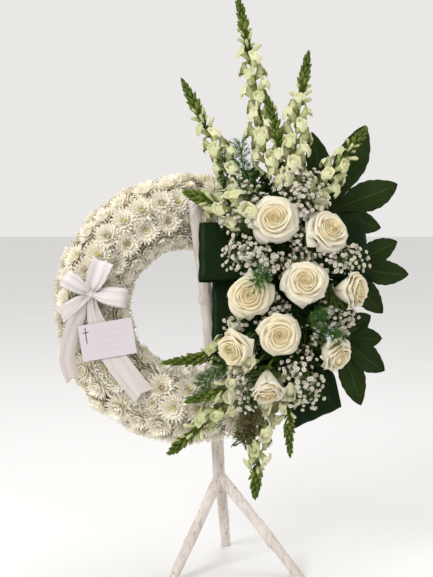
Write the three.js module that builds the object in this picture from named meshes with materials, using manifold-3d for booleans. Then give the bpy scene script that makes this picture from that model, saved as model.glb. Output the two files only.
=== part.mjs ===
// A funeral wreath on a tripod of white painted branches, in millimetres, +Z up and the viewer on the -Y side.
// A ring of floral foam in a plastic channel is covered with white chrysanthemums. A second block of foam is
// strapped to the front of its right side and holds roses, snapdragons, baby's breath, fern and large leaves.
// A satin bow with a card is pinned to the left side. The ring leans back: the pole passes behind its foot,
// up through its hole and in front of its crown, where wire ties hold it.
import * as THREE from "three";
import { mergeVertices } from "three/addons/utils/BufferGeometryUtils.js";
import Module from "manifold-3d";

const wasm = await Module();
wasm.setup();

// Driving dimensions.
const RING_RADIUS = 195; // centre line of the ring
const RING_HEIGHT = 534; // ring centre above the floor
const RING_LEAN = THREE.MathUtils.degToRad(13);
const FOAM_HALF = 36; // half width of the ring's foam, and the radius of its rounded front
const FOAM_BACK = -28; // the ring foam's flat back, behind the ring's middle plane
const BLOOM_REACH = 66; // how far chrysanthemums stand out from the section's centre
const GAP = 0.4; // clearance between pieces that touch
const BLADE = 0.9; // thickness of leaves and ribbon

const materials = {
  branch: new THREE.MeshStandardMaterial({ color: 0xe6dfdc, roughness: 0.75 }),
  steel: new THREE.MeshStandardMaterial({ color: 0xb9bbc0, roughness: 0.4, metalness: 1 }),
  foam: new THREE.MeshStandardMaterial({ color: 0x2f5a35, roughness: 1 }),
  tray: new THREE.MeshStandardMaterial({ color: 0x1f3323, roughness: 0.5 }),
  chrysanthemum: new THREE.MeshStandardMaterial({ color: 0xf4efdf, roughness: 0.8 }),
  rose: new THREE.MeshStandardMaterial({ color: 0xf7ecd6, roughness: 0.6 }),
  snapdragon: new THREE.MeshStandardMaterial({ color: 0xc9d69a, roughness: 0.7 }),
  gypsophila: new THREE.MeshStandardMaterial({ color: 0xf6f6f2, roughness: 0.8 }),
  fern: new THREE.MeshStandardMaterial({ color: 0x2c5a2c, roughness: 0.8 }),
  leaf: new THREE.MeshStandardMaterial({ color: 0x17330f, roughness: 0.35 }),
  satin: new THREE.MeshStandardMaterial({ color: 0xf1ecec, roughness: 0.35 }),
  card: new THREE.MeshStandardMaterial({ color: 0xf0e9f0, roughness: 0.7 }),
};

// A point of the wreath's own frame: right, up within the ring's plane, and forward of it.
const at = (right, up, forward) => new THREE.Vector3(right, -forward, up);
const turn = (degrees) => THREE.MathUtils.degToRad(degrees);

// A small seeded generator, so that every build draws the same numbers.
function draws(seed) {
  let state = seed;
  return () => {
    state = (state * 1664525 + 1013904223) % 4294967296;
    return state / 4294967296;
  };
}

// A closed three.js geometry as a solid that can be cut and joined.
function solidFrom(geometry) {
  const loose = geometry.index ? geometry.toNonIndexed() : geometry;
  const bare = new THREE.BufferGeometry();
  bare.setAttribute("position", loose.getAttribute("position").clone());
  const welded = mergeVertices(bare, 1e-3);
  const corners = welded.index.array;
  const faces = [];
  for (let i = 0; i < corners.length; i += 3) {
    const [a, b, c] = corners.subarray(i, i + 3);
    if (a !== b && b !== c && c !== a) faces.push(a, b, c);
  }
  const points = new Float32Array(welded.attributes.position.array);
  const build = (triVerts) =>
    new wasm.Manifold(new wasm.Mesh({ numProp: 3, vertProperties: points, triVerts: new Uint32Array(triVerts) }));
  const made = build(faces);
  return made.volume() > 0 ? made : build(faces.reverse());
}

function geometryFrom(solid) {
  const mesh = solid.getMesh();
  const geometry = new THREE.BufferGeometry();
  const points = new Float32Array(mesh.numVert * 3);
  for (let i = 0; i < mesh.numVert; i++) {
    points.set(mesh.vertProperties.subarray(i * mesh.numProp, i * mesh.numProp + 3), i * 3);
  }
  geometry.setAttribute("position", new THREE.BufferAttribute(points, 3));
  geometry.setIndex(new THREE.BufferAttribute(new Uint32Array(mesh.triVerts), 1));
  geometry.computeVertexNormals();
  return geometry;
}

const joined = (solids) => solids.reduce((all, one) => all.add(one));

// The largest body of a solid: scraps that a cut leaves loose are dropped.
function largest(solid) {
  return solid.decompose().reduce((best, body) => (body.volume() > best.volume() ? body : best));
}

// Turns a geometry that stands on the origin along +Y so that it stands on a point along an axis.
function planted(geometry, point, axis, spin = 0) {
  geometry.rotateY(spin);
  const up = new THREE.Vector3(0, 1, 0);
  geometry.applyQuaternion(new THREE.Quaternion().setFromUnitVectors(up, axis.clone().normalize()));
  return geometry.translate(point.x, point.y, point.z);
}

// A round rod between two points.
function rod(from, to, radiusFrom, radiusTo, sides, steps = 1) {
  const length = from.distanceTo(to);
  const geometry = new THREE.CylinderGeometry(radiusTo, radiusFrom, length, sides, steps);
  geometry.translate(0, length / 2, 0);
  return planted(geometry, from, to.clone().sub(from));
}

// A stem that follows a smooth line through its points.
function stemAlong(points, radius, sides, steps) {
  const section = new THREE.Shape();
  for (let k = 0; k < sides; k++) {
    const angle = (2 * Math.PI * k) / sides;
    const corner = [radius * Math.cos(angle), radius * Math.sin(angle)];
    if (k === 0) section.moveTo(...corner);
    else section.lineTo(...corner);
  }
  const path = new THREE.CatmullRomCurve3(points);
  return solidFrom(new THREE.ExtrudeGeometry(section, { steps, extrudePath: path }));
}

// A thin strip: each station has the middle of the strip, half of its width as a vector, and its normal.
function strip(stations, thickness = BLADE) {
  const last = stations.length - 1;
  const geometry = new THREE.BoxGeometry(2, 2, 1, 1, 1, last);
  const places = geometry.getAttribute("position");
  for (let i = 0; i < places.count; i++) {
    const { middle, half, normal } = stations[Math.round((places.getZ(i) + 0.5) * last)];
    const point = middle.clone().addScaledVector(half, places.getX(i));
    point.addScaledVector(normal, (places.getY(i) * thickness) / 2);
    places.setXYZ(i, point.x, point.y, point.z);
  }
  return solidFrom(geometry);
}

// A strip through points, level across: its width lies along a given direction, and shares scale that width.
function band(points, across, widths, thickness = BLADE) {
  return strip(
    points.map((middle, k) => {
      const before = points[Math.max(k - 1, 0)];
      const after = points[Math.min(k + 1, points.length - 1)];
      const along = after.clone().sub(before).normalize();
      const half = across.clone().addScaledVector(along, -across.dot(along)).normalize();
      const normal = along.clone().cross(half).normalize();
      return { middle, half: half.multiplyScalar(widths[k] / 2), normal };
    }),
    thickness,
  );
}

// Everything that becomes a mesh, in the order that it is made.
const wreathPieces = new Map();
const standPieces = new Map();

// The tripod: a forked branch whose side limb is the left leg, and two more branches screwed to the fork.
const JOINT = new THREE.Vector3(60, 8, 172);
const POLE_TOP = new THREE.Vector3(9, -12, 764);
const POLE_BOW = new THREE.Vector3(8, 14, 0);
const FEET = {
  left: new THREE.Vector3(-36, -106, 0),
  right: new THREE.Vector3(219, -76, 0),
  back: new THREE.Vector3(74, 107, 0),
};
const BRANCH_SIDES = 8;
const LEG_RADIUS = 11.5;

// A branch with a slow bow and a few swellings where twigs grew.
function branch(from, to, radiusFrom, radiusTo, steps, bow = new THREE.Vector3(), grow = 0) {
  const length = from.distanceTo(to);
  const shape = new THREE.CylinderGeometry(1, 1, length, BRANCH_SIDES, steps);
  shape.translate(0, length / 2, 0);
  const places = shape.getAttribute("position");
  for (let i = 0; i < places.count; i++) {
    const share = places.getY(i) / length;
    const taper = radiusFrom + (radiusTo - radiusFrom) * share;
    const swelling = 1 + 0.05 * Math.sin(share * 17) * Math.sin(share * Math.PI);
    places.setX(i, places.getX(i) * (taper * swelling + grow));
    places.setZ(i, places.getZ(i) * (taper * swelling + grow));
  }
  planted(shape, from, to.clone().sub(from));
  const axis = to.clone().sub(from);
  for (let i = 0; i < places.count; i++) {
    const point = new THREE.Vector3().fromBufferAttribute(places, i);
    const share = point.clone().sub(from).dot(axis) / axis.lengthSq();
    point.addScaledVector(bow, Math.sin(Math.PI * THREE.MathUtils.clamp(share, 0, 1)));
    places.setXYZ(i, point.x, point.y, point.z);
  }
  return solidFrom(shape);
}

const UNDER_FLOOR = 30; // how far a leg is drawn below the floor before its foot is sawn off level
function leg(foot, top, grow = 0) {
  const down = foot.clone().sub(top);
  const below = foot.clone().addScaledVector(down, UNDER_FLOOR / -down.z);
  const bow = new THREE.Vector3(2, 3, 0);
  return branch(below, top, LEG_RADIUS * 0.92, LEG_RADIUS, 3, bow, grow).trimByPlane([0, 0, 1], 0);
}

const fork = (grow) =>
  branch(JOINT.clone().add(new THREE.Vector3(1, 0, -10)), POLE_TOP, 12, 14.5, 8, POLE_BOW, grow).add(
    leg(FEET.left, JOINT.clone().add(new THREE.Vector3(0, -2, 10)), grow),
  );
const trunk = fork(0);
const trunkRoom = fork(GAP);
const rightTop = JOINT.clone().add(new THREE.Vector3(-2, 0, 16));
const backTop = JOINT.clone().add(new THREE.Vector3(1, 0, 6));
const rightLeg = largest(leg(FEET.right, rightTop).subtract(trunkRoom));
const backLeg = largest(leg(FEET.back, backTop).subtract(trunkRoom).subtract(leg(FEET.right, rightTop, GAP)));

// A countersunk screw through a leg into the fork, and the room that it is driven into.
const SCREW_LENGTH = 46;
function screw(head, aim, grow) {
  const shank = rod(head, head.clone().addScaledVector(aim, SCREW_LENGTH + grow), 2 + grow, 2 + grow, 6);
  const flange = rod(head, head.clone().addScaledVector(aim, 4 + grow), 4 + grow, 2 + grow, 6);
  return solidFrom(shank).add(solidFrom(flange));
}
const screws = {
  right: { head: new THREE.Vector3(95, -12, 163), aim: new THREE.Vector3(-0.94, 0.3, 0.16).normalize() },
  back: { head: new THREE.Vector3(66, 36, 138), aim: new THREE.Vector3(-0.2, -0.7, 0.68).normalize() },
};
const screwRoom = joined(Object.values(screws).map(({ head, aim }) => screw(head, aim, GAP)));
standPieces.set("forked_branch", [trunk.subtract(screwRoom), materials.branch]);
standPieces.set("leg_right", [largest(rightLeg.subtract(screwRoom)), materials.branch]);
standPieces.set("leg_back", [largest(backLeg.subtract(screwRoom)), materials.branch]);
for (const [side, { head, aim }] of Object.entries(screws)) {
  standPieces.set(`leg_screw_${side}`, [screw(head, aim, 0), materials.steel]);
}

// The wreath's frame in the stand's frame, and the pole as the wreath sees it.
const wreath = new THREE.Group();
wreath.rotation.x = -RING_LEAN;
wreath.position.z = RING_HEIGHT;
wreath.updateMatrixWorld(true);
const intoWreath = wreath.matrixWorld.clone().invert();
const poleRoom = trunkRoom.transform(intoWreath.elements);

// The ring: every turned piece has the same sides, so that nested pieces stay parallel.
const RING_SIDES = 16;
const FIRST_SECTOR = turn(86);
const RING_PHASE = Math.PI / 2 - FIRST_SECTOR;
function ringOf(outline) {
  const profile = [...outline, outline[0]].map(([out, forward]) => new THREE.Vector2(RING_RADIUS + out, -forward));
  return solidFrom(new THREE.LatheGeometry(profile, RING_SIDES, RING_PHASE));
}

// Points of the section's rounded front, from the outer side over the front to the inner side.
const ARCH_STEPS = 5;
function arch(radius) {
  return Array.from({ length: ARCH_STEPS + 1 }, (_, k) => {
    const angle = (Math.PI * k) / ARCH_STEPS;
    return [radius * Math.cos(angle), radius * Math.sin(angle)];
  });
}

const CHANNEL_RIM = -14;
const CHANNEL_WALL = 3;
const channelIn = FOAM_HALF + GAP;
const channelOut = channelIn + CHANNEL_WALL;
const channel = ringOf([
  [channelOut, FOAM_BACK - GAP - CHANNEL_WALL],
  [channelOut, CHANNEL_RIM],
  [channelIn, CHANNEL_RIM],
  [channelIn, FOAM_BACK - GAP],
  [-channelIn, FOAM_BACK - GAP],
  [-channelIn, CHANNEL_RIM],
  [-channelOut, CHANNEL_RIM],
  [-channelOut, FOAM_BACK - GAP - CHANNEL_WALL],
]);
const ringFoam = ringOf([[FOAM_HALF, FOAM_BACK], ...arch(FOAM_HALF), [-FOAM_HALF, FOAM_BACK]]);

// The spray's holder: an open plastic dish on the crest of the ring's foam, with a block of foam in it.
const BLOCK = { left: 153, right: 239, low: -83, high: 133, back: 40, front: 112 };
const DISH_WALL = 2.5;
const DISH_RIM = 58;
const boxFrom = ({ left, right, low, high, back, front }) =>
  solidFrom(
    new THREE.BoxGeometry(right - left, front - back, high - low).translate(
      (left + right) / 2,
      -(back + front) / 2,
      (low + high) / 2,
    ),
  );
const widened = (box, by) => ({
  ...box,
  left: box.left - by,
  right: box.right + by,
  low: box.low - by,
  high: box.high + by,
});
const dishBack = FOAM_HALF + GAP;
const dish = boxFrom({ ...widened(BLOCK, DISH_WALL + GAP), back: dishBack, front: DISH_RIM }).subtract(
  boxFrom({ ...widened(BLOCK, GAP), back: BLOCK.back - GAP, front: DISH_RIM + 10 }),
);
const holderRoom = boxFrom({ ...widened(BLOCK, DISH_WALL + 2 * GAP), back: dishBack - GAP, front: 300 });

// A flat loop round a convex outline, grown by its clearance: it lies in the plane of two directions.
function loopRound(outline, thickness, width, middle, across, up) {
  const grown = (by) =>
    outline.map((corner, k) => {
      const before = outline[(k + outline.length - 1) % outline.length];
      const after = outline[(k + 1) % outline.length];
      const unit = (from, to) => {
        const size = Math.hypot(to[0] - from[0], to[1] - from[1]);
        return [(to[1] - from[1]) / size, -(to[0] - from[0]) / size];
      };
      const one = unit(before, corner);
      const two = unit(corner, after);
      const fit = by / (1 + one[0] * two[0] + one[1] * two[1]);
      return new THREE.Vector2(corner[0] + fit * (one[0] + two[0]), corner[1] + fit * (one[1] + two[1]));
    });
  const shape = new THREE.Shape(grown(GAP + thickness.out));
  shape.holes.push(new THREE.Path(grown(GAP + thickness.in)));
  const geometry = new THREE.ExtrudeGeometry(shape, { depth: width, bevelEnabled: false });
  geometry.translate(0, 0, -width / 2);
  const frame = new THREE.Matrix4().makeBasis(across, up, across.clone().cross(up));
  return solidFrom(geometry.applyMatrix4(frame.setPosition(middle)));
}
const FORWARD = at(0, 0, 1);

// Two flat straps hold the dish and its block to the ring. Each is a loop round both.
const STRAP = 1.2;
const STRAP_WIDTH = 8;
const straps = { strap_upper: 32, strap_lower: -62 };
function strapLoop(height, grow) {
  const near = Math.abs(height) + STRAP_WIDTH / 2;
  const inner = (RING_RADIUS - channelOut) * Math.cos(Math.PI / RING_SIDES);
  const ringLeft = Math.sqrt(inner ** 2 - near ** 2) - 0.6;
  const ringRight = Math.sqrt((RING_RADIUS + channelOut) ** 2 - (near - STRAP_WIDTH) ** 2);
  const left = BLOCK.left - DISH_WALL - GAP;
  const right = BLOCK.right + DISH_WALL + GAP;
  const back = FOAM_BACK - GAP - CHANNEL_WALL;
  const outline = [
    [Math.min(ringLeft, left), back],
    [ringRight, back],
    [right, dishBack],
    [right, BLOCK.front],
    [left, BLOCK.front],
  ];
  const thickness = { out: STRAP + grow, in: -grow };
  const across = new THREE.Vector3(1, 0, 0);
  return loopRound(outline, thickness, STRAP_WIDTH + 2 * grow, at(0, height, 0), across, FORWARD);
}
const strapRoom = joined(Object.values(straps).map((height) => strapLoop(height, GAP)));

// Wire ties where the pole crosses the ring: each loop runs slantwise round the pole and the ring's section.
const TIE_WIRE = 1.6;
const ties = {
  wire_tie_top: {
    middle: at(7, 188.5, 0),
    slant: turn(43),
    back: [[-62, -8], [-62, -33], [62, -33], [62, -5]],
    front: [[52, 30], [33, 76], [-14, 76], [-42, 26]],
  },
  wire_tie_foot: {
    middle: at(52, -187, 0),
    slant: turn(-40),
    back: [[-56.5, -2], [-56.5, -33], [-22, -73], [22, -73], [49.5, -33], [49.5, -2]],
    front: [[39, 24], [18, 40], [-20, 40], [-45, 24]],
  },
};
function wireTie({ middle, slant, back, front }, grow) {
  const outline = [...back, ...front];
  const across = at(Math.cos(slant), Math.sin(slant), 0);
  return loopRound(outline, { out: TIE_WIRE + grow, in: -grow }, TIE_WIRE + 2 * grow, middle, across, FORWARD);
}
const tieRoom = joined(Object.values(ties).map((tie) => wireTie(tie, GAP)));

// Corners of a flat mesh through given points, by Delaunay's rule: one point is added at a time.
function meshThrough(points) {
  const far = 1e5;
  const all = [...points, [-far, -far], [far, -far], [0, far]];
  const inside = ([a, b, c], point) => {
    const rows = [a, b, c].map((k) => {
      const [x, y] = [all[k][0] - point[0], all[k][1] - point[1]];
      return [x, y, x * x + y * y];
    });
    const [p, q, r] = rows;
    const minor = (m, n) => m[0] * n[1] - m[1] * n[0];
    return p[2] * minor(q, r) - q[2] * minor(p, r) + r[2] * minor(p, q) > 0;
  };
  let faces = [[points.length, points.length + 1, points.length + 2]];
  points.forEach((point, k) => {
    const broken = faces.filter((face) => inside(face, point));
    const edges = broken.flatMap(([a, b, c]) => [
      [a, b],
      [b, c],
      [c, a],
    ]);
    const rim = edges.filter(([a, b]) => !edges.some(([c, d]) => a === d && b === c));
    faces = [...faces.filter((face) => !broken.includes(face)), ...rim.map(([a, b]) => [a, b, k])];
  });
  return faces.filter((face) => face.every((k) => k < points.length));
}

// Rows of chrysanthemum heads round the section: the angle from the ring's outer side, the number of heads in
// an eighth of the ring, and their radius.
const HEAD_ROWS = {
  outer: { angle: turn(2), heads: 3, radius: 33 },
  outerFront: { angle: turn(59), heads: 3, radius: 31 },
  innerFront: { angle: turn(119), heads: 2, radius: 34 },
  inner: { angle: turn(176), heads: 2, radius: 30 },
};
const HEAD_PETALS = 8;
const BED_FROM = turn(-36); // where petals hang over the channel's outer side, as an angle round the section
const BED_TO = turn(216);
// How far the surface of a bed is from the section's centre: between heads, at a head's rings, and in its eye.
const LEVELS = { rim: 51, notch: 46, tip: 54, crown: BLOOM_REACH, eye: BLOOM_REACH - 7 };
const HEAD_RINGS = [
  // share of the head's radius, level, and whether it lies half a petal on
  { share: 0, level: LEVELS.eye, half: false },
  { share: 0.5, level: LEVELS.crown, half: true },
  { share: 1, level: LEVELS.tip, half: false },
  { share: 0.86, level: LEVELS.notch, half: true },
];
const SECTOR = turn(45);
const UNROLL = 54; // the distance from the section's centre at which lengths are true

// The heads of one sector, each with its middle as two angles: round the ring, and round the section.
function headsOf(sector, rows, random) {
  return rows.flatMap((row) => {
    const { angle, heads, radius } = HEAD_ROWS[row];
    return Array.from({ length: heads }, (_, k) => ({
      round: FIRST_SECTOR + SECTOR * (sector + (k + 0.5) / heads),
      around: angle + turn(4) * (random() - 0.5),
      radius: radius * (0.94 + 0.1 * random()),
      spin: random() * Math.PI,
    }));
  });
}
const radiusAt = (around) => RING_RADIUS + UNROLL * Math.cos(around);

// The points that raise a sector's surface into heads. A point that lies in another head's share is left out.
function petalPoints(heads, isInside, flat) {
  const found = [];
  const distance = (head, [p, q]) => {
    const [x, y] = [(head.round - p) * radiusAt(head.around), UNROLL * (head.around - q)];
    return Math.hypot(x, y) / head.radius;
  };
  for (const head of heads) {
    for (const { share, level, half: between } of HEAD_RINGS) {
      for (let k = 0; k < (share === 0 ? 1 : HEAD_PETALS); k++) {
        const angle = head.spin + (2 * Math.PI * (k + (between ? 0.5 : 0))) / HEAD_PETALS;
        const around = head.around + (share * head.radius * Math.sin(angle)) / UNROLL;
        const round = head.round + (share * head.radius * Math.cos(angle)) / radiusAt(around);
        const own = distance(head, [round, around]);
        const taken = heads.some((other) => other !== head && distance(other, [round, around]) < own + 0.02);
        const point = { round, around, level };
        const [x, y] = flat(point);
        const near = found.some((other) => Math.hypot(flat(other)[0] - x, flat(other)[1] - y) < 6.5);
        if (!taken && !near && isInside(point)) found.push(point);
      }
    }
  }
  return found;
}

// A bed of flower heads between two angles round the ring, down to the section's centre line.
function bed(from, to, heads) {
  const slip = 0.5 / RING_RADIUS;
  const [first, last] = [from + slip, to - slip];
  const stations = Math.round(((last - first) * RING_RADIUS) / 19);
  const rows = 14;
  const onRim = (j) => first + ((last - first) * j) / stations;
  const onEnd = (k) => BED_FROM + ((BED_TO - BED_FROM) * k) / rows;
  const inset = 8.5;
  const centre = (first + last) / 2;
  const flat = ({ round, around }) => [(round - centre) * radiusAt(around), UNROLL * around];
  const isInside = ({ round, around }) => {
    const scale = radiusAt(around);
    const sides = [(round - first) * scale, (last - round) * scale];
    return Math.min(...sides, UNROLL * (around - BED_FROM), UNROLL * (BED_TO - around)) > inset;
  };
  const edge = [];
  const place = (round, around) => edge.push({ round, around, level: LEVELS.rim }) - 1;
  const outerRim = Array.from({ length: stations + 1 }, (_, j) => place(onRim(j), BED_FROM));
  const innerRim = Array.from({ length: stations + 1 }, (_, j) => place(onRim(j), BED_TO));
  const column = (round, low, high) =>
    Array.from({ length: rows + 1 }, (_, k) => (k === 0 ? low : k === rows ? high : place(round, onEnd(k))));
  const firstEnd = column(first, outerRim[0], innerRim[0]);
  const lastEnd = column(last, outerRim.at(-1), innerRim.at(-1));
  const points = [...edge, ...petalPoints(heads, isInside, flat)];

  // Points outside the edge keep the mesh square there. They and their faces are dropped again.
  const guards = edge.flatMap(({ round, around }, k) => {
    const aside = 0.05 + 0.004 * ((k * 7) % 5);
    const up = around === BED_FROM ? -aside * 5 : around === BED_TO ? aside * 5 : 0;
    const on = round === first ? -aside : round === last ? aside : 0;
    return [{ round: round + on, around: around + up }];
  });
  const sameSide = (face) =>
    ["round", "around"].some((way) => {
      const [a, b, c] = face.map((k) => points[k][way]);
      return a === b && b === c;
    });
  const faces = meshThrough([...points, ...guards].map(flat)).filter(
    (face) => face.every((k) => k < points.length) && !sameSide(face),
  );

  const corner = ({ round, around, level }) => {
    const out = RING_RADIUS + level * Math.cos(around);
    return at(out * Math.cos(round), out * Math.sin(round), level * Math.sin(around));
  };
  const middle = outerRim.map((_, j) => points.length + j);
  const corners = [
    ...points.map(corner),
    ...middle.map((_, j) => at(RING_RADIUS * Math.cos(onRim(j)), RING_RADIUS * Math.sin(onRim(j)), 0)),
  ];
  for (let j = 0; j < stations; j++) {
    faces.push([outerRim[j + 1], outerRim[j], middle[j]], [outerRim[j + 1], middle[j], middle[j + 1]]);
    faces.push([innerRim[j], innerRim[j + 1], middle[j + 1]], [innerRim[j], middle[j + 1], middle[j]]);
  }
  for (let k = 0; k < rows; k++) {
    faces.push([lastEnd[k + 1], lastEnd[k], middle.at(-1)], [firstEnd[k], firstEnd[k + 1], middle[0]]);
  }
  const geometry = new THREE.BufferGeometry().setFromPoints(corners);
  geometry.setIndex(faces.flat());
  return solidFrom(geometry);
}

// What the beds stand on: the foam and its channel, with their clearance, open to the back.
const ringRoom = ringOf([
  [channelOut + GAP, -90],
  [channelOut + GAP, CHANNEL_RIM + GAP],
  ...arch(FOAM_HALF + GAP),
  [-channelOut - GAP, CHANNEL_RIM + GAP],
  [-channelOut - GAP, -90],
]);

// Chrysanthemums, by eighths of the ring. Under the spray only the outer and the inner side are planted.
const allRows = Object.keys(HEAD_ROWS);
const plots = {
  chrysanthemums_upper_left: { sectors: [0], rows: allRows },
  chrysanthemums_left_high: { sectors: [1], rows: allRows },
  chrysanthemums_left_low: { sectors: [2], rows: allRows },
  chrysanthemums_lower_left: { sectors: [3], rows: allRows },
  chrysanthemums_foot: { sectors: [4], rows: allRows },
  chrysanthemums_upper_right: { sectors: [7], rows: allRows },
  chrysanthemums_outer_right: { sectors: [5, 6], rows: ["outer"], side: "outer" },
  chrysanthemums_inner_right: { sectors: [5, 6], rows: ["inner"], side: "inner" },
};
const sideRoom = {
  outer: solidFrom(new THREE.CylinderGeometry(RING_RADIUS, RING_RADIUS, 400, RING_SIDES, 1)),
  inner: ringOf([
    [0, -150],
    [200, -150],
    [200, 150],
    [0, 150],
  ]),
};
const UNDER_SPRAY = 30; // side rows beside the dish stay behind this plane
const random = draws(7);
const bowPick = { from: at(-188, 18, 74), to: at(-188, 18, 10), radius: 1.6 };
const pickEnd = bowPick.to.clone().add(new THREE.Vector3(0, GAP, 0));
const pickRoom = solidFrom(rod(bowPick.from, pickEnd, bowPick.radius + GAP, bowPick.radius + GAP, 6));
const bedRooms = [ringRoom, holderRoom, strapRoom, tieRoom, poleRoom, pickRoom];
for (const [name, { sectors, rows, side }] of Object.entries(plots)) {
  const heads = sectors.flatMap((sector) => headsOf(sector, rows, random));
  const from = FIRST_SECTOR + SECTOR * sectors[0];
  let flowers = bed(from, from + SECTOR * sectors.length, heads);
  if (side) flowers = flowers.subtract(sideRoom[side]).trimByPlane([0, 1, 0], -UNDER_SPRAY);
  for (const room of bedRooms) flowers = flowers.subtract(room);
  wreathPieces.set(name, [largest(flowers), materials.chrysanthemum]);
}

// Roses: where each bloom's middle is, which way it faces, and the radius of its outer petals.
const ROSES = {
  rose_1: { middle: at(164, 152, 160), face: at(-0.1, 0.18, 1), radius: 46, entry: at(180, 106, 112) },
  rose_2: { middle: at(263, 129, 152), face: at(0.4, 0.28, 0.9), radius: 41, entry: at(224, 104, 112) },
  rose_3: { middle: at(118, 6, 158), face: at(-0.2, 0, 1), radius: 42, entry: at(165, 12, 112) },
  rose_4: { middle: at(219, 30, 172), face: at(0, 0.1, 1), radius: 41, entry: at(208, 50, 112) },
  rose_5: { middle: at(305, 18, 150), face: at(0.85, 0, 0.5), radius: 32, entry: at(229, 10, 112) },
  rose_6: { middle: at(90, -91, 150), face: at(-0.5, -0.42, 0.8), radius: 35, entry: at(164, -36, 112) },
  rose_7: { middle: at(171, -67, 170), face: at(0.05, -0.18, 1), radius: 40, entry: at(190, -36, 112) },
  rose_8: { middle: at(272, -99, 145), face: at(0.55, -0.5, 0.55), radius: 35, entry: at(229, -38, 112) },
  rose_9: { middle: at(149, -161, 150), face: at(0.02, -0.8, 0.6), radius: 32, entry: at(186, -74, 112) },
};
const ROSE_TIERS = [
  // radius and height as shares of the rose's radius and height, and how deep its petals are scalloped
  [0, 0, 0],
  [0.6, 0.18, 0],
  [0.86, 0.56, 0.04],
  [1, 0.84, 0.09],
  [0.74, 0.66, 0.06],
  [0.7, 0.92, 0.09],
  [0.47, 0.7, 0.06],
  [0.4, 1, 0.09],
  [0, 0.84, 0],
];
const ROSE_PETALS = 5;
const SPOKES_A_PETAL = 3;
const roseHeight = (radius) => 1.32 * radius;

// A rose: tiers of petals that overlap round the flower, each tier turned against the one outside it.
function roseBloom(radius, grow = 0) {
  const height = roseHeight(radius);
  const profile = ROSE_TIERS.map(([out, up]) => new THREE.Vector2(out * radius, up * height));
  const spokes = ROSE_PETALS * SPOKES_A_PETAL;
  const bloom = new THREE.LatheGeometry(profile, spokes);
  const places = bloom.getAttribute("position");
  const lap = [0, 1, -1.2];
  for (let i = 0; i < places.count; i++) {
    const tier = i % profile.length;
    const spoke = Math.floor(i / profile.length) % spokes;
    const depth = ROSE_TIERS[tier][2];
    const wave = 1 + depth * lap[(spoke + Math.ceil(tier / 2)) % SPOKES_A_PETAL];
    const out = Math.hypot(places.getX(i), places.getZ(i));
    const reach = out > 0 ? (out * wave + grow) / out : 1;
    places.setX(i, places.getX(i) * reach);
    places.setZ(i, places.getZ(i) * reach);
  }
  bloom.translate(0, -height / 2, 0);
  if (grow) bloom.scale(1, 1 + (2 * grow) / height, 1);
  return bloom;
}

// A stem stands in a blind hole of the foam block, cut with the same sides as the stem.
const STEM_DEPTH = 24;
const stemHoles = [];
const matHoles = []; // where stems pass the greens on the block's front
function rootStem(entry, next, radius, sides) {
  const inward = entry.clone().sub(next).normalize();
  const foot = entry.clone().addScaledVector(inward, STEM_DEPTH);
  const beyond = foot.clone().addScaledVector(inward, GAP);
  const outside = entry.clone().addScaledVector(inward, -12);
  stemHoles.push(solidFrom(rod(beyond, outside, radius + 2 * GAP, radius + 2 * GAP, sides)));
  const start = entry.clone().addScaledVector(inward, 16);
  const passed = entry.clone().addScaledVector(inward, -85);
  if (entry.y === -BLOCK.front) matHoles.push(solidFrom(rod(start, passed, radius + 1.5, radius + 6, 4)));
  return solidFrom(rod(foot, next, radius, radius, sides));
}

const ROSE_STEM = 2.8;
const roseRooms = [];
for (const [name, { middle, face, radius, entry }] of Object.entries(ROSES)) {
  const aim = face.clone().normalize();
  const height = roseHeight(radius);
  const base = middle.clone().addScaledVector(aim, -height / 2);
  const bloom = solidFrom(planted(roseBloom(radius), middle, aim));
  const calyx = solidFrom(
    rod(base.clone().addScaledVector(aim, -5), base.clone().addScaledVector(aim, 6), 4, 9, 5),
  );
  const stem = rootStem(entry, base.clone().addScaledVector(aim, 1), ROSE_STEM, 4);
  wreathPieces.set(name, [joined([bloom, calyx, stem]), materials.rose]);
  roseRooms.push({ middle, radius: radius * 0.98, stem: [entry, base] });
}

// Snapdragons: the line of each spike from the foam to its tip, how many flowers are open, and its size.
const SNAPDRAGONS = {
  snapdragon_1: { line: [at(188, 133, 84), at(160, 235, 96), at(135, 400, 100), at(99, 598, 92)], open: 7 },
  snapdragon_2: { line: [at(164, 133, 70), at(115, 205, 92), at(62, 290, 100), at(-10, 433, 92)], open: 5 },
  snapdragon_3: { line: [at(208, 133, 96), at(200, 230, 112), at(210, 340, 118), at(234, 489, 108)], open: 7 },
  snapdragon_4: { line: [at(228, 133, 90), at(252, 205, 118), at(292, 268, 124), at(345, 338, 118)], open: 6 },
  snapdragon_5: { line: [at(163, 122, 112), at(125, 158, 134), at(66, 178, 128), at(-2, 206, 106)], open: 3 },
  snapdragon_6: { line: [at(153, -42, 84), at(95, -72, 88), at(30, -104, 94), at(-50, -116, 98)], open: 2 },
  snapdragon_7: { line: [at(163, -74, 112), at(130, -118, 128), at(62, -168, 116), at(-6, -190, 104)], open: 3 },
  snapdragon_8: { line: [at(164, -83, 76), at(112, -150, 88), at(40, -222, 96), at(-38, -289, 90)], open: 4 },
  snapdragon_9: { line: [at(186, -83, 66), at(158, -160, 84), at(136, -262, 94), at(127, -372, 90)], open: 5 },
  snapdragon_10: { line: [at(205, -83, 96), at(193, -140, 112), at(190, -212, 118), at(193, -294, 112)], open: 3 },
};
const SPIKE_STEM = 2.6;
const GOLDEN = turn(137.5);
const TIP_SHARE = 0.4; // the share of the line that is a tight cone of unopened buds

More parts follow.
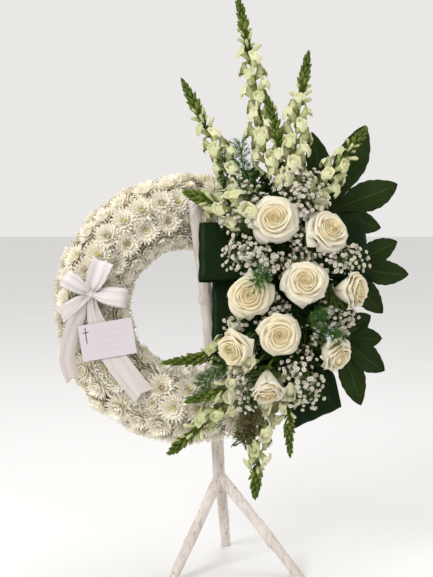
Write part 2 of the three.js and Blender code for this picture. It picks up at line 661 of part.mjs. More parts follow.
// An open flower: a short tube that flares into two uneven lips.
function openFlower(length, spread) {
  const sides = 5;
  const profile = [
    [0, 0],
    [0.42 * spread, 0.55 * length],
    [spread, length],
    [0, 0.7 * length],
  ].map(([out, up]) => new THREE.Vector2(out, up));
  const flower = new THREE.LatheGeometry(profile, sides);
  const places = flower.getAttribute("position");
  for (let i = 0; i < places.count; i++) {
    const spoke = Math.floor(i / profile.length) % sides;
    if (i % profile.length !== 2) continue;
    const lip = spoke % 3 === 0 ? 0.62 : 1;
    places.setX(i, places.getX(i) * lip);
    places.setZ(i, places.getZ(i) * lip);
    places.setY(i, places.getY(i) + (spoke < 3 ? 0.14 : -0.16) * length);
  }
  return flower;
}

// The tight cone of buds at the tip: a spindle whose surface is raised into bumps, staggered row by row.
function budCone(length, radius) {
  const rows = 8;
  const sides = 6;
  const profile = Array.from({ length: rows + 1 }, (_, k) => {
    const share = k / rows;
    const out = k === 0 || k === rows ? 0 : radius * (1.15 - 0.75 * share);
    return new THREE.Vector2(out, share * length);
  });
  const cone = new THREE.LatheGeometry(profile, sides);
  const places = cone.getAttribute("position");
  for (let i = 0; i < places.count; i++) {
    const row = i % profile.length;
    const side = Math.floor(i / profile.length) % sides;
    const bump = (row + side) % 2 === 0 ? 1.16 : 0.76;
    places.setX(i, places.getX(i) * bump);
    places.setZ(i, places.getZ(i) * bump);
  }
  return cone;
}

// True where a line from a foot to a head keeps clear of given balls, each with a middle and a radius.
function clearOf(balls, from, to, margin) {
  const line = new THREE.Line3(from, to);
  const nearest = new THREE.Vector3();
  return balls.every(({ middle, radius }) => {
    line.closestPointToPoint(middle, true, nearest);
    return nearest.distanceTo(middle) > radius + margin;
  });
}

// Balls that stand for a rose: its bloom and the stem under it.
const roseBalls = roseRooms.flatMap(({ middle, radius, stem: [foot, top] }) => [
  { middle, radius },
  ...[0, 0.33, 0.66, 1].map((share) => ({ middle: foot.clone().lerp(top, share), radius: 6 })),
]);

const spikeBalls = [];
const FLOWERS_FROM = 0.3; // the share of the line that is bare stem
const BUDS = 3;
for (const [name, { line, open }] of Object.entries(SNAPDRAGONS)) {
  const path = new THREE.CatmullRomCurve3(line);
  const draw = draws(Math.round(line[3].z + line[3].x) + 900);
  const shown = Array.from({ length: 6 }, (_, k) => path.getPointAt(0.04 + (k / 5) * (0.98 - TIP_SHARE)));
  const parts = [rootStem(line[0], shown[0], SPIKE_STEM, 4), stemAlong(shown, SPIKE_STEM, 4, 5)];
  const coneFoot = path.getPointAt(1 - TIP_SHARE);
  const coneAim = path.getPointAt(1).sub(coneFoot);
  parts.push(solidFrom(planted(budCone(coneAim.length() + 4, open > 3 ? 13 : 11), coneFoot, coneAim)));
  const own = [];
  const count = open + BUDS;
  for (let k = 0; k < count; k++) {
    const isOpen = k < open;
    const share = FLOWERS_FROM + ((1 - TIP_SHARE - FLOWERS_FROM) * (k + 0.5)) / count;
    const foot = path.getPointAt(share);
    const along = path.getTangentAt(share);
    const side = new THREE.Vector3(0.3, -1, 0.2).cross(along).normalize();
    const size = isOpen ? 31 - 5 * (k / open) : 22 - 7 * ((k - open) / BUDS);
    for (let attempt = 0; attempt < 5; attempt++) {
      const aim = side.clone().applyAxisAngle(along, k * GOLDEN + attempt * turn(55));
      aim.addScaledVector(along, isOpen ? 0.7 : 1.1).normalize();
      const tip = foot.clone().addScaledVector(aim, size);
      if (!clearOf(roseBalls, foot, tip, isOpen ? 8 : 4)) continue;
      if (!clearOf(spikeBalls, tip, tip, isOpen ? 9 : 5)) continue;
      if (isOpen) {
        parts.push(solidFrom(planted(openFlower(size, 13.5), foot, aim, draw() * 3)));
      } else {
        const bud = new THREE.OctahedronGeometry(1, 0).scale(size * 0.24, size / 2, size * 0.24);
        parts.push(solidFrom(planted(bud.translate(0, size / 2 - 1, 0), foot, aim, draw() * 3)));
      }
      own.push({ middle: tip, radius: isOpen ? 9 : 4 });
      break;
    }
  }
  wreathPieces.set(name, [joined(parts), materials.snapdragon]);
  for (let k = 0; k <= 12; k++) own.push({ middle: path.getPointAt(k / 12), radius: k > 8 ? 11 : 8 });
  spikeBalls.push(...own);
}
const taken = [...roseBalls, ...spikeBalls];

// Baby's breath: one stem to a leafy joint, from which fine stalks spread to their florets.
const GYPSOPHILA = {
  gypsophila_1: { entry: at(163, 98, 112), fork: at(128, 112, 136), middle: at(92, 150, 150), reach: [54, 34, 54] },
  gypsophila_2: { entry: at(166, 62, 112), fork: at(146, 66, 132), middle: at(112, 74, 152), reach: [50, 30, 30] },
  gypsophila_3: { entry: at(202, 122, 112), fork: at(212, 172, 136), middle: at(214, 208, 152), reach: [54, 30, 46] },
  gypsophila_4: { entry: at(230, 66, 112), fork: at(262, 72, 132), middle: at(296, 76, 148), reach: [48, 34, 36] },
  gypsophila_5: { entry: at(212, -72, 112), fork: at(214, -124, 134), middle: at(214, -152, 148), reach: [46, 32, 54] },
};
const FLORET = 5.4; // radius of a floret
const TRIES = 70;
const FLORETS = 15;
function stalkedFloret(length) {
  const profile = [
    [0, 0],
    [0.8, 1],
    [0.7, length - 3.5],
    [FLORET, length],
    [0, length + 4],
  ];
  return new THREE.LatheGeometry(
    profile.map(([out, up]) => new THREE.Vector2(out, up)),
    4,
  );
}
for (const [name, { entry, fork: split, middle, reach }] of Object.entries(GYPSOPHILA)) {
  const draw = draws(Math.round(middle.x * 7 + middle.z));
  const joint = new THREE.OctahedronGeometry(5.5, 0);
  const parts = [rootStem(entry, split, 1.5, 4), solidFrom(planted(joint, split, split.clone().sub(entry)))];
  const placed = [];
  for (let k = 0; k < TRIES && placed.length < FLORETS; k++) {
    const lift = 1 - (2 * (k + 0.5)) / TRIES;
    const round = Math.sqrt(1 - lift * lift);
    const far = 0.62 + 0.38 * draw();
    const offset = at(
      reach[0] * far * round * Math.cos(k * GOLDEN),
      reach[2] * far * round * Math.sin(k * GOLDEN),
      reach[1] * far * lift,
    );
    const head = middle.clone().add(offset);
    const aim = head.clone().sub(split).normalize();
    const spaced = placed.every((other) => other.aim.angleTo(aim) > 0.3 && other.head.distanceTo(head) > 15);
    const start = split.clone().addScaledVector(aim, 1.5);
    if (!spaced || !clearOf(taken, start, head, FLORET + 1)) continue;
    placed.push({ head, aim });
    parts.push(solidFrom(planted(stalkedFloret(start.distanceTo(head)), start, aim, draw() * 3)));
  }
  taken.push(...placed.map(({ head }) => ({ middle: head, radius: FLORET })));
  taken.push(...[0, 0.33, 0.66, 1].map((share) => ({ middle: entry.clone().lerp(split, share), radius: 3 })));
  wreathPieces.set(name, [joined(parts), materials.gypsophila]);
}

// Fern: a slim core with soft needles all round it.
const FERNS = {
  fern_upper: { line: [at(176, 133, 102), at(140, 176, 112), at(112, 236, 120), at(98, 310, 112)], needles: 26 },
  fern_middle: { line: [at(226, -12, 112), at(240, -24, 136), at(246, -34, 160), at(240, -40, 184)], needles: 20 },
  fern_foot: { line: [at(168, -83, 94), at(134, -136, 96), at(118, -190, 104), at(104, -262, 100)], needles: 24 },
};
const NEEDLES_FROM = 0.42;
for (const [name, { line, needles }] of Object.entries(FERNS)) {
  const path = new THREE.CatmullRomCurve3(line);
  const shown = Array.from({ length: 7 }, (_, k) => path.getPointAt(0.04 + 0.16 * k));
  const parts = [rootStem(line[0], path.getPointAt(0.07), 1.6, 4), stemAlong(shown, 1.4, 3, 7)];
  for (let k = 0; k < needles; k++) {
    const share = NEEDLES_FROM + ((0.99 - NEEDLES_FROM) * k) / needles;
    const foot = path.getPointAt(share);
    const along = path.getTangentAt(share);
    const aim = new THREE.Vector3(0.2, 0.4, 1).cross(along).normalize().applyAxisAngle(along, k * GOLDEN);
    aim.addScaledVector(along, 0.8).normalize();
    const length = 19 * (1 - 0.6 * Math.abs(share - 0.66));
    if (!clearOf(taken, foot, foot.clone().addScaledVector(aim, length), 2)) continue;
    const needle = new THREE.ConeGeometry(1.1, length, 3).translate(0, length / 2, 0);
    parts.push(solidFrom(planted(needle, foot, aim, k)));
  }
  wreathPieces.set(name, [joined(parts), materials.fern]);
}

// Greens: a thin mat of leaves hides the block's front, with leaf tips that stand out of it all round.
const MAT = { depth: 8, margin: 2 };
function matRelief(x, z) {
  return 2.6 * Math.sin(x * 0.31 + z * 0.17) * Math.cos(z * 0.23 - x * 0.11);
}
function greensMat() {
  const width = BLOCK.right - BLOCK.left - 2 * MAT.margin;
  const height = BLOCK.high - BLOCK.low - 2 * MAT.margin;
  const mat = new THREE.BoxGeometry(width, MAT.depth, height, 4, 1, 9);
  const places = mat.getAttribute("position");
  for (let i = 0; i < places.count; i++) {
    if (places.getY(i) > 0) continue;
    places.setY(i, places.getY(i) + matRelief(places.getX(i), places.getZ(i)));
  }
  return mat.translate(
    (BLOCK.left + BLOCK.right) / 2,
    -(BLOCK.front + GAP + MAT.depth / 2),
    (BLOCK.low + BLOCK.high) / 2,
  );
}
const greens = [solidFrom(greensMat())];
const drawLeaf = draws(41);
function addLeaf(foot, aim, length) {
  if (!clearOf(taken, foot.clone().addScaledVector(aim, 6), foot.clone().addScaledVector(aim, length), 4)) return;
  const leaf = new THREE.OctahedronGeometry(1, 0).scale(length * 0.22, length / 2, 0.9);
  greens.push(solidFrom(planted(leaf.translate(0, length / 2 - 3, 0), foot, aim, drawLeaf() * 1.4 - 0.7)));
}
const around = 26;
const centre = at((BLOCK.left + BLOCK.right) / 2, (BLOCK.low + BLOCK.high) / 2, BLOCK.front + 5);
const halfSize = { right: (BLOCK.right - BLOCK.left) / 2 - 6, up: (BLOCK.high - BLOCK.low) / 2 - 6 };
for (let k = 0; k < around; k++) {
  const angle = (2 * Math.PI * (k + 0.4 * drawLeaf())) / around;
  const [x, z] = [Math.cos(angle), Math.sin(angle)];
  const reach = 1 / Math.max(Math.abs(x), Math.abs(z));
  const foot = centre.clone().add(at(x * reach * halfSize.right, z * reach * halfSize.up, 0));
  const aim = at(x, z, 0.1 + 0.4 * drawLeaf()).normalize();
  addLeaf(foot, aim, 42 + 14 * drawLeaf());
}
const upright = 18;
for (let k = 0; k < upright; k++) {
  const [x, z] = [((k * 0.618) % 1) * 2 - 1, ((k + 0.5) / upright) * 2 - 1];
  const foot = centre.clone().add(at(x * halfSize.right, z * halfSize.up, 0));
  addLeaf(foot, at(1.2 * (drawLeaf() - 0.5), 1.2 * (drawLeaf() - 0.5), 1).normalize(), 24 + 10 * drawLeaf());
}
const bloomRooms = Object.values(ROSES).map(({ middle, face, radius }) =>
  solidFrom(planted(roseBloom(radius, 1.5), middle, face)),
);
const cleared = [...matHoles, ...bloomRooms, strapRoom].reduce((rest, room) => rest.subtract(room), joined(greens));
wreathPieces.set("filler_greens", [largest(cleared), materials.leaf]);

// Fatsia leaves: lobes that fan from the end of the leaf stalk, each with its direction, length and half width.
const FATSIAS = {
  fatsia_upper: {
    middle: at(267, 174, 72),
    entry: at(239, 100, 70),
    lobes: [
      [-12, 112, 22],
      [24, 158, 29],
      [64.7, 203, 31],
      [96.7, 171, 23],
      [134, 120, 22],
    ],
  },
  fatsia_middle: {
    middle: at(302, 74, 62),
    entry: at(239, 52, 62),
    lobes: [
      [-88, 88, 20],
      [-50, 120, 23],
      [-8, 130, 24],
      [23, 118, 23],
      [60, 84, 22],
    ],
  },
  fatsia_lower: {
    middle: at(284, -61, 76),
    entry: at(239, -34, 72),
    lobes: [
      [-69, 144, 24],
      [-36, 117, 25],
      [-6, 90, 22],
      [26, 78, 20],
    ],
  },
};
// Points along a lobe's edge: the share of its length, and the share of its half width.
const LOBE = [
  [0.34, 0.62],
  [0.58, 1],
  [0.82, 0.66],
];
function fatsia({ middle, lobes }, grow = 0) {
  const outline = new THREE.Shape();
  const polar = (angle, out) => [out * Math.cos(angle), out * Math.sin(angle)];
  outline.moveTo(...polar(turn(lobes[0][0] - 65), 16));
  lobes.forEach(([degrees, length, half], k) => {
    const room = (other) => (other ? 0.42 * turn(Math.abs(other[0] - degrees)) : turn(60));
    const rooms = [room(lobes[k - 1]), room(lobes[k + 1])];
    const edge = (share, width, side) => {
      const aside = Math.min(Math.atan2(width * half, share * length), rooms[side < 0 ? 0 : 1]);
      outline.lineTo(...polar(turn(degrees) + side * aside, share * length));
    };
    LOBE.forEach(([share, width]) => edge(share, width, -1));
    outline.lineTo(...polar(turn(degrees), length));
    [...LOBE].reverse().forEach(([share, width]) => edge(share, width, 1));
    if (k < lobes.length - 1) outline.lineTo(...polar(turn((degrees + lobes[k + 1][0]) / 2), 31));
  });
  outline.lineTo(...polar(turn(lobes.at(-1)[0] + 65), 16));
  const depth = BLADE + 2 * grow;
  const blade = new THREE.ExtrudeGeometry(outline, { depth, bevelEnabled: false });
  const places = blade.getAttribute("position");
  for (let i = 0; i < places.count; i++) {
    const [x, y, z] = [places.getX(i), places.getY(i), places.getZ(i)];
    const out = Math.hypot(x, y);
    const past = Math.max(out - 31, 0);
    const arched = 8 * Math.sin(Math.PI * Math.min(past / 130, 1)) - 0.0006 * past * past;
    places.setXYZ(i, middle.x + x, middle.y - arched + depth / 2 - z, middle.z + y);
  }
  return solidFrom(blade);
}
for (const [name, leaf] of Object.entries(FATSIAS)) {
  const stalk = rootStem(leaf.entry, leaf.middle, 2.2, 5);
  wreathPieces.set(name, [fatsia(leaf).add(stalk), materials.leaf]);
}

// Aspidistra leaves, each bent back on itself into a loop with both ends pinned to the foam's side. A loop's
// section is drawn out from the foam, and the leaf's width runs across it.
const LOOPS = {
  aspidistra_left: {
    ...{ root: at(152.5, 97, 0), out: at(-1, 0, 0), across: at(0, 1, 0), reach: 132, slant: 0 },
    ...{ near: 84, wide: 113, back: 81, front: 107 },
  },
  aspidistra_inner: {
    ...{ root: at(149.7, -14, 0), out: at(-1, 0, 0), across: at(0, 1, 0), reach: 104, slant: 0 },
    ...{ near: 60, wide: 112, back: 47, front: 68 },
  },
  aspidistra_right: {
    ...{ root: at(239.5, 96, 0), out: at(1, 0.16, 0), across: at(0, 1, 0), reach: 106, slant: 0.14 },
    ...{ near: 64, wide: 128, back: 83, front: 101 },
  },
  aspidistra_foot: {
    ...{ root: at(219, -83.5, 0), out: at(0.2, -0.98, 0), across: at(1, 0, 0), reach: 140, slant: 0.41 },
    ...{ near: 30, wide: 104, back: 64, front: 80 },
  },
};
for (const [name, { root, out, across, reach, near, wide, back, front, slant }] of Object.entries(LOOPS)) {
  const middle = (back + front) / 2;
  const bend = (front - back) / 2;
  const section = [];
  const straight = reach - bend;
  const spread = [0, 0.35, 0.7, 1];
  for (const share of spread) section.push([share * straight, share === 0 ? middle - 3 : back + 2 * (1 - share)]);
  for (const degrees of [-50, -12, 25, 62]) {
    section.push([straight + bend * Math.cos(turn(degrees)), middle + bend * Math.sin(turn(degrees))]);
  }
  for (const share of [...spread].reverse()) {
    section.push([share * straight, share === 0 ? middle + 3 : front - 2 * (1 - share)]);
  }
  const stations = section.map(([far, forward], k) => {
    const before = section[Math.max(k - 1, 0)];
    const after = section[Math.min(k + 1, section.length - 1)];
    const alongOut = after[0] - before[0];
    const alongForward = after[1] - before[1];
    const size = Math.hypot(alongOut, alongForward);
    const share = Math.min(far / (0.62 * reach), 1);
    const width = near + (wide - near) * Math.sin((share * Math.PI) / 2);
    const place = root.clone().addScaledVector(out, far).add(at(0, 0, forward));
    const normal = out.clone().multiplyScalar(alongForward / size).add(at(0, 0, -alongOut / size));
    const skewed = across.clone().addScaledVector(out, -slant * share);
    return { middle: place, half: skewed.multiplyScalar(width / 2), normal };
  });
  wreathPieces.set(name, [strip(stations), materials.leaf]);
}

// The bow: loops and a short tail of satin ribbon gathered in a knot, on a wooden pick that enters the foam.
const KNOT = at(-188, 18, 84);
const RIBBON = 36;
// Each loop: its direction within the ring's plane, how far it reaches, its width at the fold, and its depth.
const BOW_LOOPS = {
  upperLeft: { aim: turn(148), reach: 60, width: 33, back: 78, front: 92 },
  upper: { aim: turn(68), reach: 66, width: 40, back: 80, front: 102 },
  right: { aim: turn(-8), reach: 70, width: 36, back: 77, front: 95 },
};
function bowLoop({ aim, reach, width, back, front }) {
  const out = at(Math.cos(aim), Math.sin(aim), 0);
  const across = at(-Math.sin(aim), Math.cos(aim), 0);
  const bend = (front - back) / 2;
  const middle = (front + back) / 2;
  const section = [
    [2, 84, 0.3],
    [0.4 * reach, back, 0.7],
    [0.8 * reach, back, 1],
    [reach, middle - bend * 0.4, 1],
    [reach, middle + bend * 0.4, 1],
    [0.8 * reach, front, 1],
    [0.4 * reach, front - 2, 0.7],
    [2, 85.5, 0.3],
  ];
  const points = section.map(([far, forward]) => at(KNOT.x, KNOT.z, forward).addScaledVector(out, far));
  return band(
    points,
    across,
    section.map(([, , share]) => share * width),
  );
}
const knot = solidFrom(new THREE.IcosahedronGeometry(8, 0).scale(1.1, 1, 0.9).translate(KNOT.x, KNOT.y, KNOT.z));
const shortTail = band(
  [at(-190, 14, 84), at(-210, 3, 80), at(-232, -12, 77), at(-251, -26, 73.5)],
  at(-0.6, 0.8, 0),
  [10, 24, 31, 33],
);
const pick = solidFrom(rod(KNOT, bowPick.to, bowPick.radius, bowPick.radius, 6));

// Two long tails fall from the knot: one over the front of the ring, one down its outer side.
const frontTail = band(
  [at(-187, 14, 80), at(-180, -30, 70), at(-160, -80, 70.5), at(-128, -125, 71.5), at(-84, -180, 70)],
  at(0.86, 0.5, 0),
  [12, RIBBON, RIBBON + 4, RIBBON + 6, RIBBON + 2],
);
const sideTail = band(
  [at(-190, 14, 80), at(-212, -24, 72), at(-226, -62, 71), at(-233, -108, 68), at(-222, -150, 60)],
  at(0.9, 0.1, -0.35),
  [12, 30, 34, 32, 28],
);
const ribbon = joined([...Object.values(BOW_LOOPS).map(bowLoop), knot, shortTail, frontTail, sideTail, pick]);
wreathPieces.set("satin_bow", [ribbon, materials.satin]);

// A plain card lies on the front tail.
const CARD = { width: 105, height: 70, thickness: 1, tilt: turn(9.5) };
const card = new THREE.BoxGeometry(CARD.width, CARD.thickness, CARD.height);
card.rotateY(-CARD.tilt).translate(-156, -72.2, -70);
wreathPieces.set("card", [solidFrom(card), materials.card]);

wreathPieces.set("ring_channel", [channel, materials.tray]);
wreathPieces.set("ring_foam", [ringFoam.subtract(pickRoom), materials.foam]);
wreathPieces.set("spray_dish", [dish, materials.tray]);
wreathPieces.set("spray_foam", [boxFrom(BLOCK).subtract(joined(stemHoles)), materials.foam]);
for (const [name, height] of Object.entries(straps)) {
  wreathPieces.set(name, [strapLoop(height, 0), materials.tray]);
}
for (const [name, tie] of Object.entries(ties)) {
  wreathPieces.set(name, [wireTie(tie, 0), materials.steel]);
}

const SLIVER = 0.2; // faces thinner than this, which joins leave, are closed up
function meshOf([name, [solid, material]]) {
  const mesh = new THREE.Mesh(geometryFrom(solid), material);
  mesh.name = name;
  return mesh;
}
const stand = new THREE.Group();
stand.add(...[...standPieces].map(meshOf));
const tidied = ([name, [solid, material]]) => [name, [largest(solid.asOriginal().simplify(SLIVER)), material]];
wreath.add(...[...wreathPieces].map(tidied).map(meshOf));

// The origin is the middle of the whole object's footprint, on the floor.
const root = new THREE.Group();
root.add(stand, wreath);
root.updateMatrixWorld(true);
const extent = new THREE.Box3().setFromObject(root, true);
root.position.set(-(extent.min.x + extent.max.x) / 2, -(extent.min.y + extent.max.y) / 2, 0);

export default root;
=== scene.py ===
# A funeral wreath on a tripod of white painted branches: a ring of white chrysanthemums, a spray of roses,
# snapdragons, baby's breath and large leaves on its right side, and a white satin bow with a card on its left.
import bmesh
import bpy
from math import acos, cos, hypot, pi, radians, sin, sqrt
from mathutils import Matrix, Quaternion, Vector, noise
from random import Random


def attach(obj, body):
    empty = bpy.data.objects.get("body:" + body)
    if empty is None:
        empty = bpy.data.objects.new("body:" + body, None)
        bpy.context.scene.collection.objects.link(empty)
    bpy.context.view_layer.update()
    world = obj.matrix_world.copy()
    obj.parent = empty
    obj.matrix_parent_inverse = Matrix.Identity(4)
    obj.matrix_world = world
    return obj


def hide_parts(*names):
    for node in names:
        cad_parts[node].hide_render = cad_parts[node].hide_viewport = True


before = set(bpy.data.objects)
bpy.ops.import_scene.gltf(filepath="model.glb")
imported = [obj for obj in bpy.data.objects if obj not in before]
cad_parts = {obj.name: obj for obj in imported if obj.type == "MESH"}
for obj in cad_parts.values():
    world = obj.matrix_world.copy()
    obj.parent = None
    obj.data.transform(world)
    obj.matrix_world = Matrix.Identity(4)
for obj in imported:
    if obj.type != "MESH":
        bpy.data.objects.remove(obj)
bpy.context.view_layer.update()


# The branches: a forked one that is the pole and the left leg, and two more screwed to its fork.
# They are peeled sticks painted white. The paint is thin, so that the grain shows and old knots stay dark.
# The legs are sawn off level at the floor.
class Wire:
    """A socket of a shader that can be used in a sum."""

    def __init__(self, finish, socket):
        self.finish, self.socket = finish, socket

    def maths(self, operation, first, second=0.0):
        return self.finish.node("ShaderNodeMath", {"operation": operation}, {0: first, 1: second})

    def __add__(self, other):
        return self.maths("ADD", self, other)

    def __sub__(self, other):
        return self.maths("SUBTRACT", self, other)

    def __mul__(self, other):
        return self.maths("MULTIPLY", self, other)

    def __radd__(self, other):
        return self.maths("ADD", other, self)

    def __rsub__(self, other):
        return self.maths("SUBTRACT", other, self)

    def __abs__(self):
        return self.maths("ABSOLUTE", self)

    def sine(self):
        return self.finish.node("ShaderNodeMath", {"operation": "SINE"}, {0: self})

    def between(self, low, high):
        """0 below low, 1 above high, and smooth from one to the other."""
        inputs = {"Value": self, "From Min": low, "From Max": high}
        return self.finish.node("ShaderNodeMapRange", {"interpolation_type": "SMOOTHSTEP"}, inputs)


class Finish:
    """A material that is built node by node on one Principled shader."""

    def __init__(self, name, **constants):
        self.material = bpy.data.materials.new(name)
        self.material.use_nodes = True
        self.nodes = self.material.node_tree.nodes
        self.shader = self.nodes["Principled BSDF"]
        for socket, value in constants.items():
            self.shader.inputs[socket.replace("_", " ").title().replace("Ior", "IOR")].default_value = value

    def node(self, kind, settings=None, inputs=None, out=0):
        made = self.nodes.new(kind)
        for name, value in (settings or {}).items():
            setattr(made, name, value)
        for name, value in (inputs or {}).items():
            socket = made.inputs[name]
            if isinstance(value, Wire):
                self.material.node_tree.links.new(value.socket, socket)
            else:
                socket.default_value = (*value, 1) if socket.type == "RGBA" and len(value) == 3 else value
        return Wire(self, made.outputs[out])

    def feed(self, **sockets):
        for name, wire in sockets.items():
            self.material.node_tree.links.new(wire.socket, self.shader.inputs[name.replace("_", " ")])

    def place(self, stretch=(1, 1, 1), of="Object"):
        """Where a point lies on the object, or with "UV" on the piece's own map, stretched."""
        here = self.node("ShaderNodeTexCoord", out=of)
        return self.node("ShaderNodeMapping", {}, {"Vector": here, "Scale": stretch})

    def grain(self, size, stretch=(1, 1, 1), detail=2.0, of="Object"):
        """Cloudy noise whose clouds are about so many metres across, or so large a share of the piece's own map."""
        inputs = {"Vector": self.place(stretch, of), "Scale": 1 / size, "Detail": detail}
        return self.node("ShaderNodeTexNoise", {}, inputs)

    def along(self, out):
        """The piece's own map: X runs across a petal or leaf, and Y from its foot to its tip."""
        split = self.node("ShaderNodeTexCoord", out="UV")
        return self.node("ShaderNodeSeparateXYZ", {}, {0: split}, out)

    def told(self, name):
        return self.node("ShaderNodeAttribute", {"attribute_name": name}, out="Fac")

    def mixed(self, share, first, second):
        return self.node("ShaderNodeMix", {"data_type": "RGBA"}, {0: share, 6: first, 7: second}, 2)

    def bump(self, height, strength, distance):
        inputs = {"Height": height, "Strength": strength, "Distance": distance}
        self.feed(Normal=self.node("ShaderNodeBump", {}, inputs))


STAND = Matrix.Translation((-0.084884, 0.047642, 0)) @ Matrix.Scale(0.001, 4)
RING = STAND @ Matrix.Translation((0, 0, 534)) @ Matrix.Rotation(radians(-13), 4, "X")


def at(right, up, forward):
    """A point of the ring's own frame in millimetres: right, up within the ring's plane, and forward of it."""
    return Vector((right, -forward, up))


def new_mesh():
    bm = bmesh.new()
    bm.loops.layers.uv.new("along")
    bm.verts.layers.float.new("tone")
    return bm


def laid(bm, across, along, place, tone=0.0, look=0):
    """Lays a grid on a surface: place(s, t) has s from -1 to 1 across and t from 0 to 1 along."""
    made = bmesh.ops.create_grid(bm, x_segments=across, y_segments=along, size=1, calc_uvs=True)["verts"]
    layer = bm.verts.layers.float["tone"]
    for point in made:
        point.co = place(point.co.x, (point.co.y + 1) / 2)
        point[layer] = tone
    for face in {face for point in made for face in point.link_faces}:
        face.material_index = look
        face.smooth = True
    return made


def kept(name, bm):
    mesh = bpy.data.meshes.new(name)
    bm.to_mesh(mesh)
    bm.free()
    return mesh


def linked(name, data):
    made = bpy.data.objects.new(name, data)
    bpy.context.collection.objects.link(made)
    return made


def shown(name, bm, frame_of, finishes, slot, *nodes):
    """Makes the finished piece: it stands for CAD nodes and rides on the one body."""
    bmesh.ops.transform(bm, matrix=frame_of, verts=bm.verts)
    piece = linked(name, kept(name, bm))
    for finish in finishes:
        piece.data.materials.append(finish.material)
    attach(piece, "root")
    if nodes:
        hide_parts(*nodes)
    return piece


def capped(bm):
    """Closes the open ends of a mesh."""
    bmesh.ops.holes_fill(bm, edges=[edge for edge in bm.edges if edge.is_boundary], sides=0)


def limb(bm, foot, top, radii, bow, sides, steps, twigs):
    """A branch: a closed tube with a slow bow, shallow furrows and swellings where twigs grew."""
    axis = top - foot
    side = axis.orthogonal().normalized()
    up = axis.normalized().cross(side)

    def bark(s, t):
        middle = foot + axis * t + bow * sin(pi * t)
        out = radii[0] + (radii[1] - radii[0]) * t
        out *= 1 + 0.05 * sin(17 * t) * sin(pi * t)
        ray = cos(pi * s) * side + sin(pi * s) * up
        out += 0.55 * noise.fractal(Vector((ray.x * 2.2, ray.y * 2.2, middle.z / 38)), 0.6, 2, 4)
        for share, angle, size in twigs:
            far = hypot((t - share) * axis.length, acos(max(-1, min(1, cos(pi * s - angle)))) * out)
            if far < 2.2 * size:
                out += 0.32 * size * (1 + cos(pi * far / (2.2 * size))) - (1.6 if far < 0.6 * size else 0)
        return middle + ray * out

    tube = laid(bm, sides, steps, bark)
    bmesh.ops.remove_doubles(bm, verts=tube, dist=0.05)
    capped(bm)


painted_bark = Finish("painted_bark", roughness=0.62, specular_ior_level=0.35)
streaks = painted_bark.grain(0.006, (1, 1, 0.12), 4)
clouds = painted_bark.grain(0.05, (1, 1, 0.5), 3)
specks = painted_bark.grain(0.006, (1, 1, 0.22), 5).between(0.62, 0.70)
worn = painted_bark.grain(0.011, (1, 1, 0.14), 5).between(0.58, 0.74)
paint = painted_bark.mixed(clouds.between(0.35, 0.7), (0.76, 0.70, 0.655), (0.60, 0.53, 0.48))
paint = painted_bark.mixed(streaks.between(0.40, 0.75) * 0.5, paint, (0.44, 0.375, 0.32))
paint = painted_bark.mixed(worn * 0.5, paint, (0.38, 0.30, 0.25))
paint = painted_bark.mixed(specks * 0.55, paint, (0.15, 0.11, 0.09))
painted_bark.feed(Base_Color=paint, Roughness=0.55 + streaks * 0.2)
painted_bark.bump(streaks * 0.6 + clouds * 0.2 - specks * 0.5 - worn * 0.3, 0.55, 0.0016)

FORK = Vector((60, 8, 172))
POLE_FOOT, POLE_TOP, POLE_BOW = FORK + Vector((1, 0, -10)), Vector((9, -12, 764)), Vector((8, 14, 0))
POLE_RADII = (12, 14.5)
POLE_TWIGS = [(0.2, -1.2, 5), (0.36, 2.2, 6), (0.53, -0.9, 5), (0.64, 2.8, 7), (0.78, -1.6, 5), (0.9, 0.4, 5)]


def leg(bm, foot, top, twigs):
    """A leg that is drawn 30 mm below the floor and sawn off level there."""
    down = foot - top
    limb(bm, foot + down * (30 / -down.z), top, (9.8, 11.4), Vector((2, 3, 0)), 28, 46, twigs)
    whole = [*bm.verts, *bm.edges, *bm.faces]
    bmesh.ops.bisect_plane(bm, geom=whole, plane_co=(0, 0, 0.02), plane_no=(0, 0, 1), clear_inner=True)
    capped(bm)


fork = new_mesh()
leg(fork, Vector((-36, -106, 0)), FORK + Vector((0, -2, 10)), [(0.55, 1.0, 4)])
limb(fork, POLE_FOOT, POLE_TOP, POLE_RADII, POLE_BOW, 32, 150, POLE_TWIGS)
shown("pole_and_left_leg", fork, STAND, [painted_bark], "branch", "forked_branch")
for name, foot, top, node, twigs in (
    ("right_leg", (219, -76, 0), (-2, 0, 16), "leg_right", [(0.42, 2.0, 5), (0.7, -1.4, 4)]),
    ("rear_leg", (74, 107, 0), (1, 0, 6), "leg_back", [(0.5, 0.5, 4)]),
):
    bm = new_mesh()
    leg(bm, Vector(foot), FORK + Vector(top), twigs)
    shown(name, bm, STAND, [painted_bark], "branch", node)


# Steel: the two screws that hold the legs, and the wire that ties the ring to the pole.
# Zinc plated, so pale grey and a little cloudy. They keep their CAD shapes.
zinc = Finish("zinc_steel", metallic=1.0, roughness=0.38)
cloud = zinc.grain(0.002, detail=3)
zinc.feed(Base_Color=zinc.mixed(cloud, (0.56, 0.57, 0.59), (0.72, 0.72, 0.73)), Roughness=0.3 + cloud * 0.2)
zinc.bump(cloud, 0.15, 0.0003)


def refinish(finish, *nodes):
    for node in nodes:
        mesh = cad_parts[node].data
        mesh.materials.clear()
        mesh.materials.append(finish.material)


refinish(zinc, "leg_screw_right", "leg_screw_back", "wire_tie_top", "wire_tie_foot")

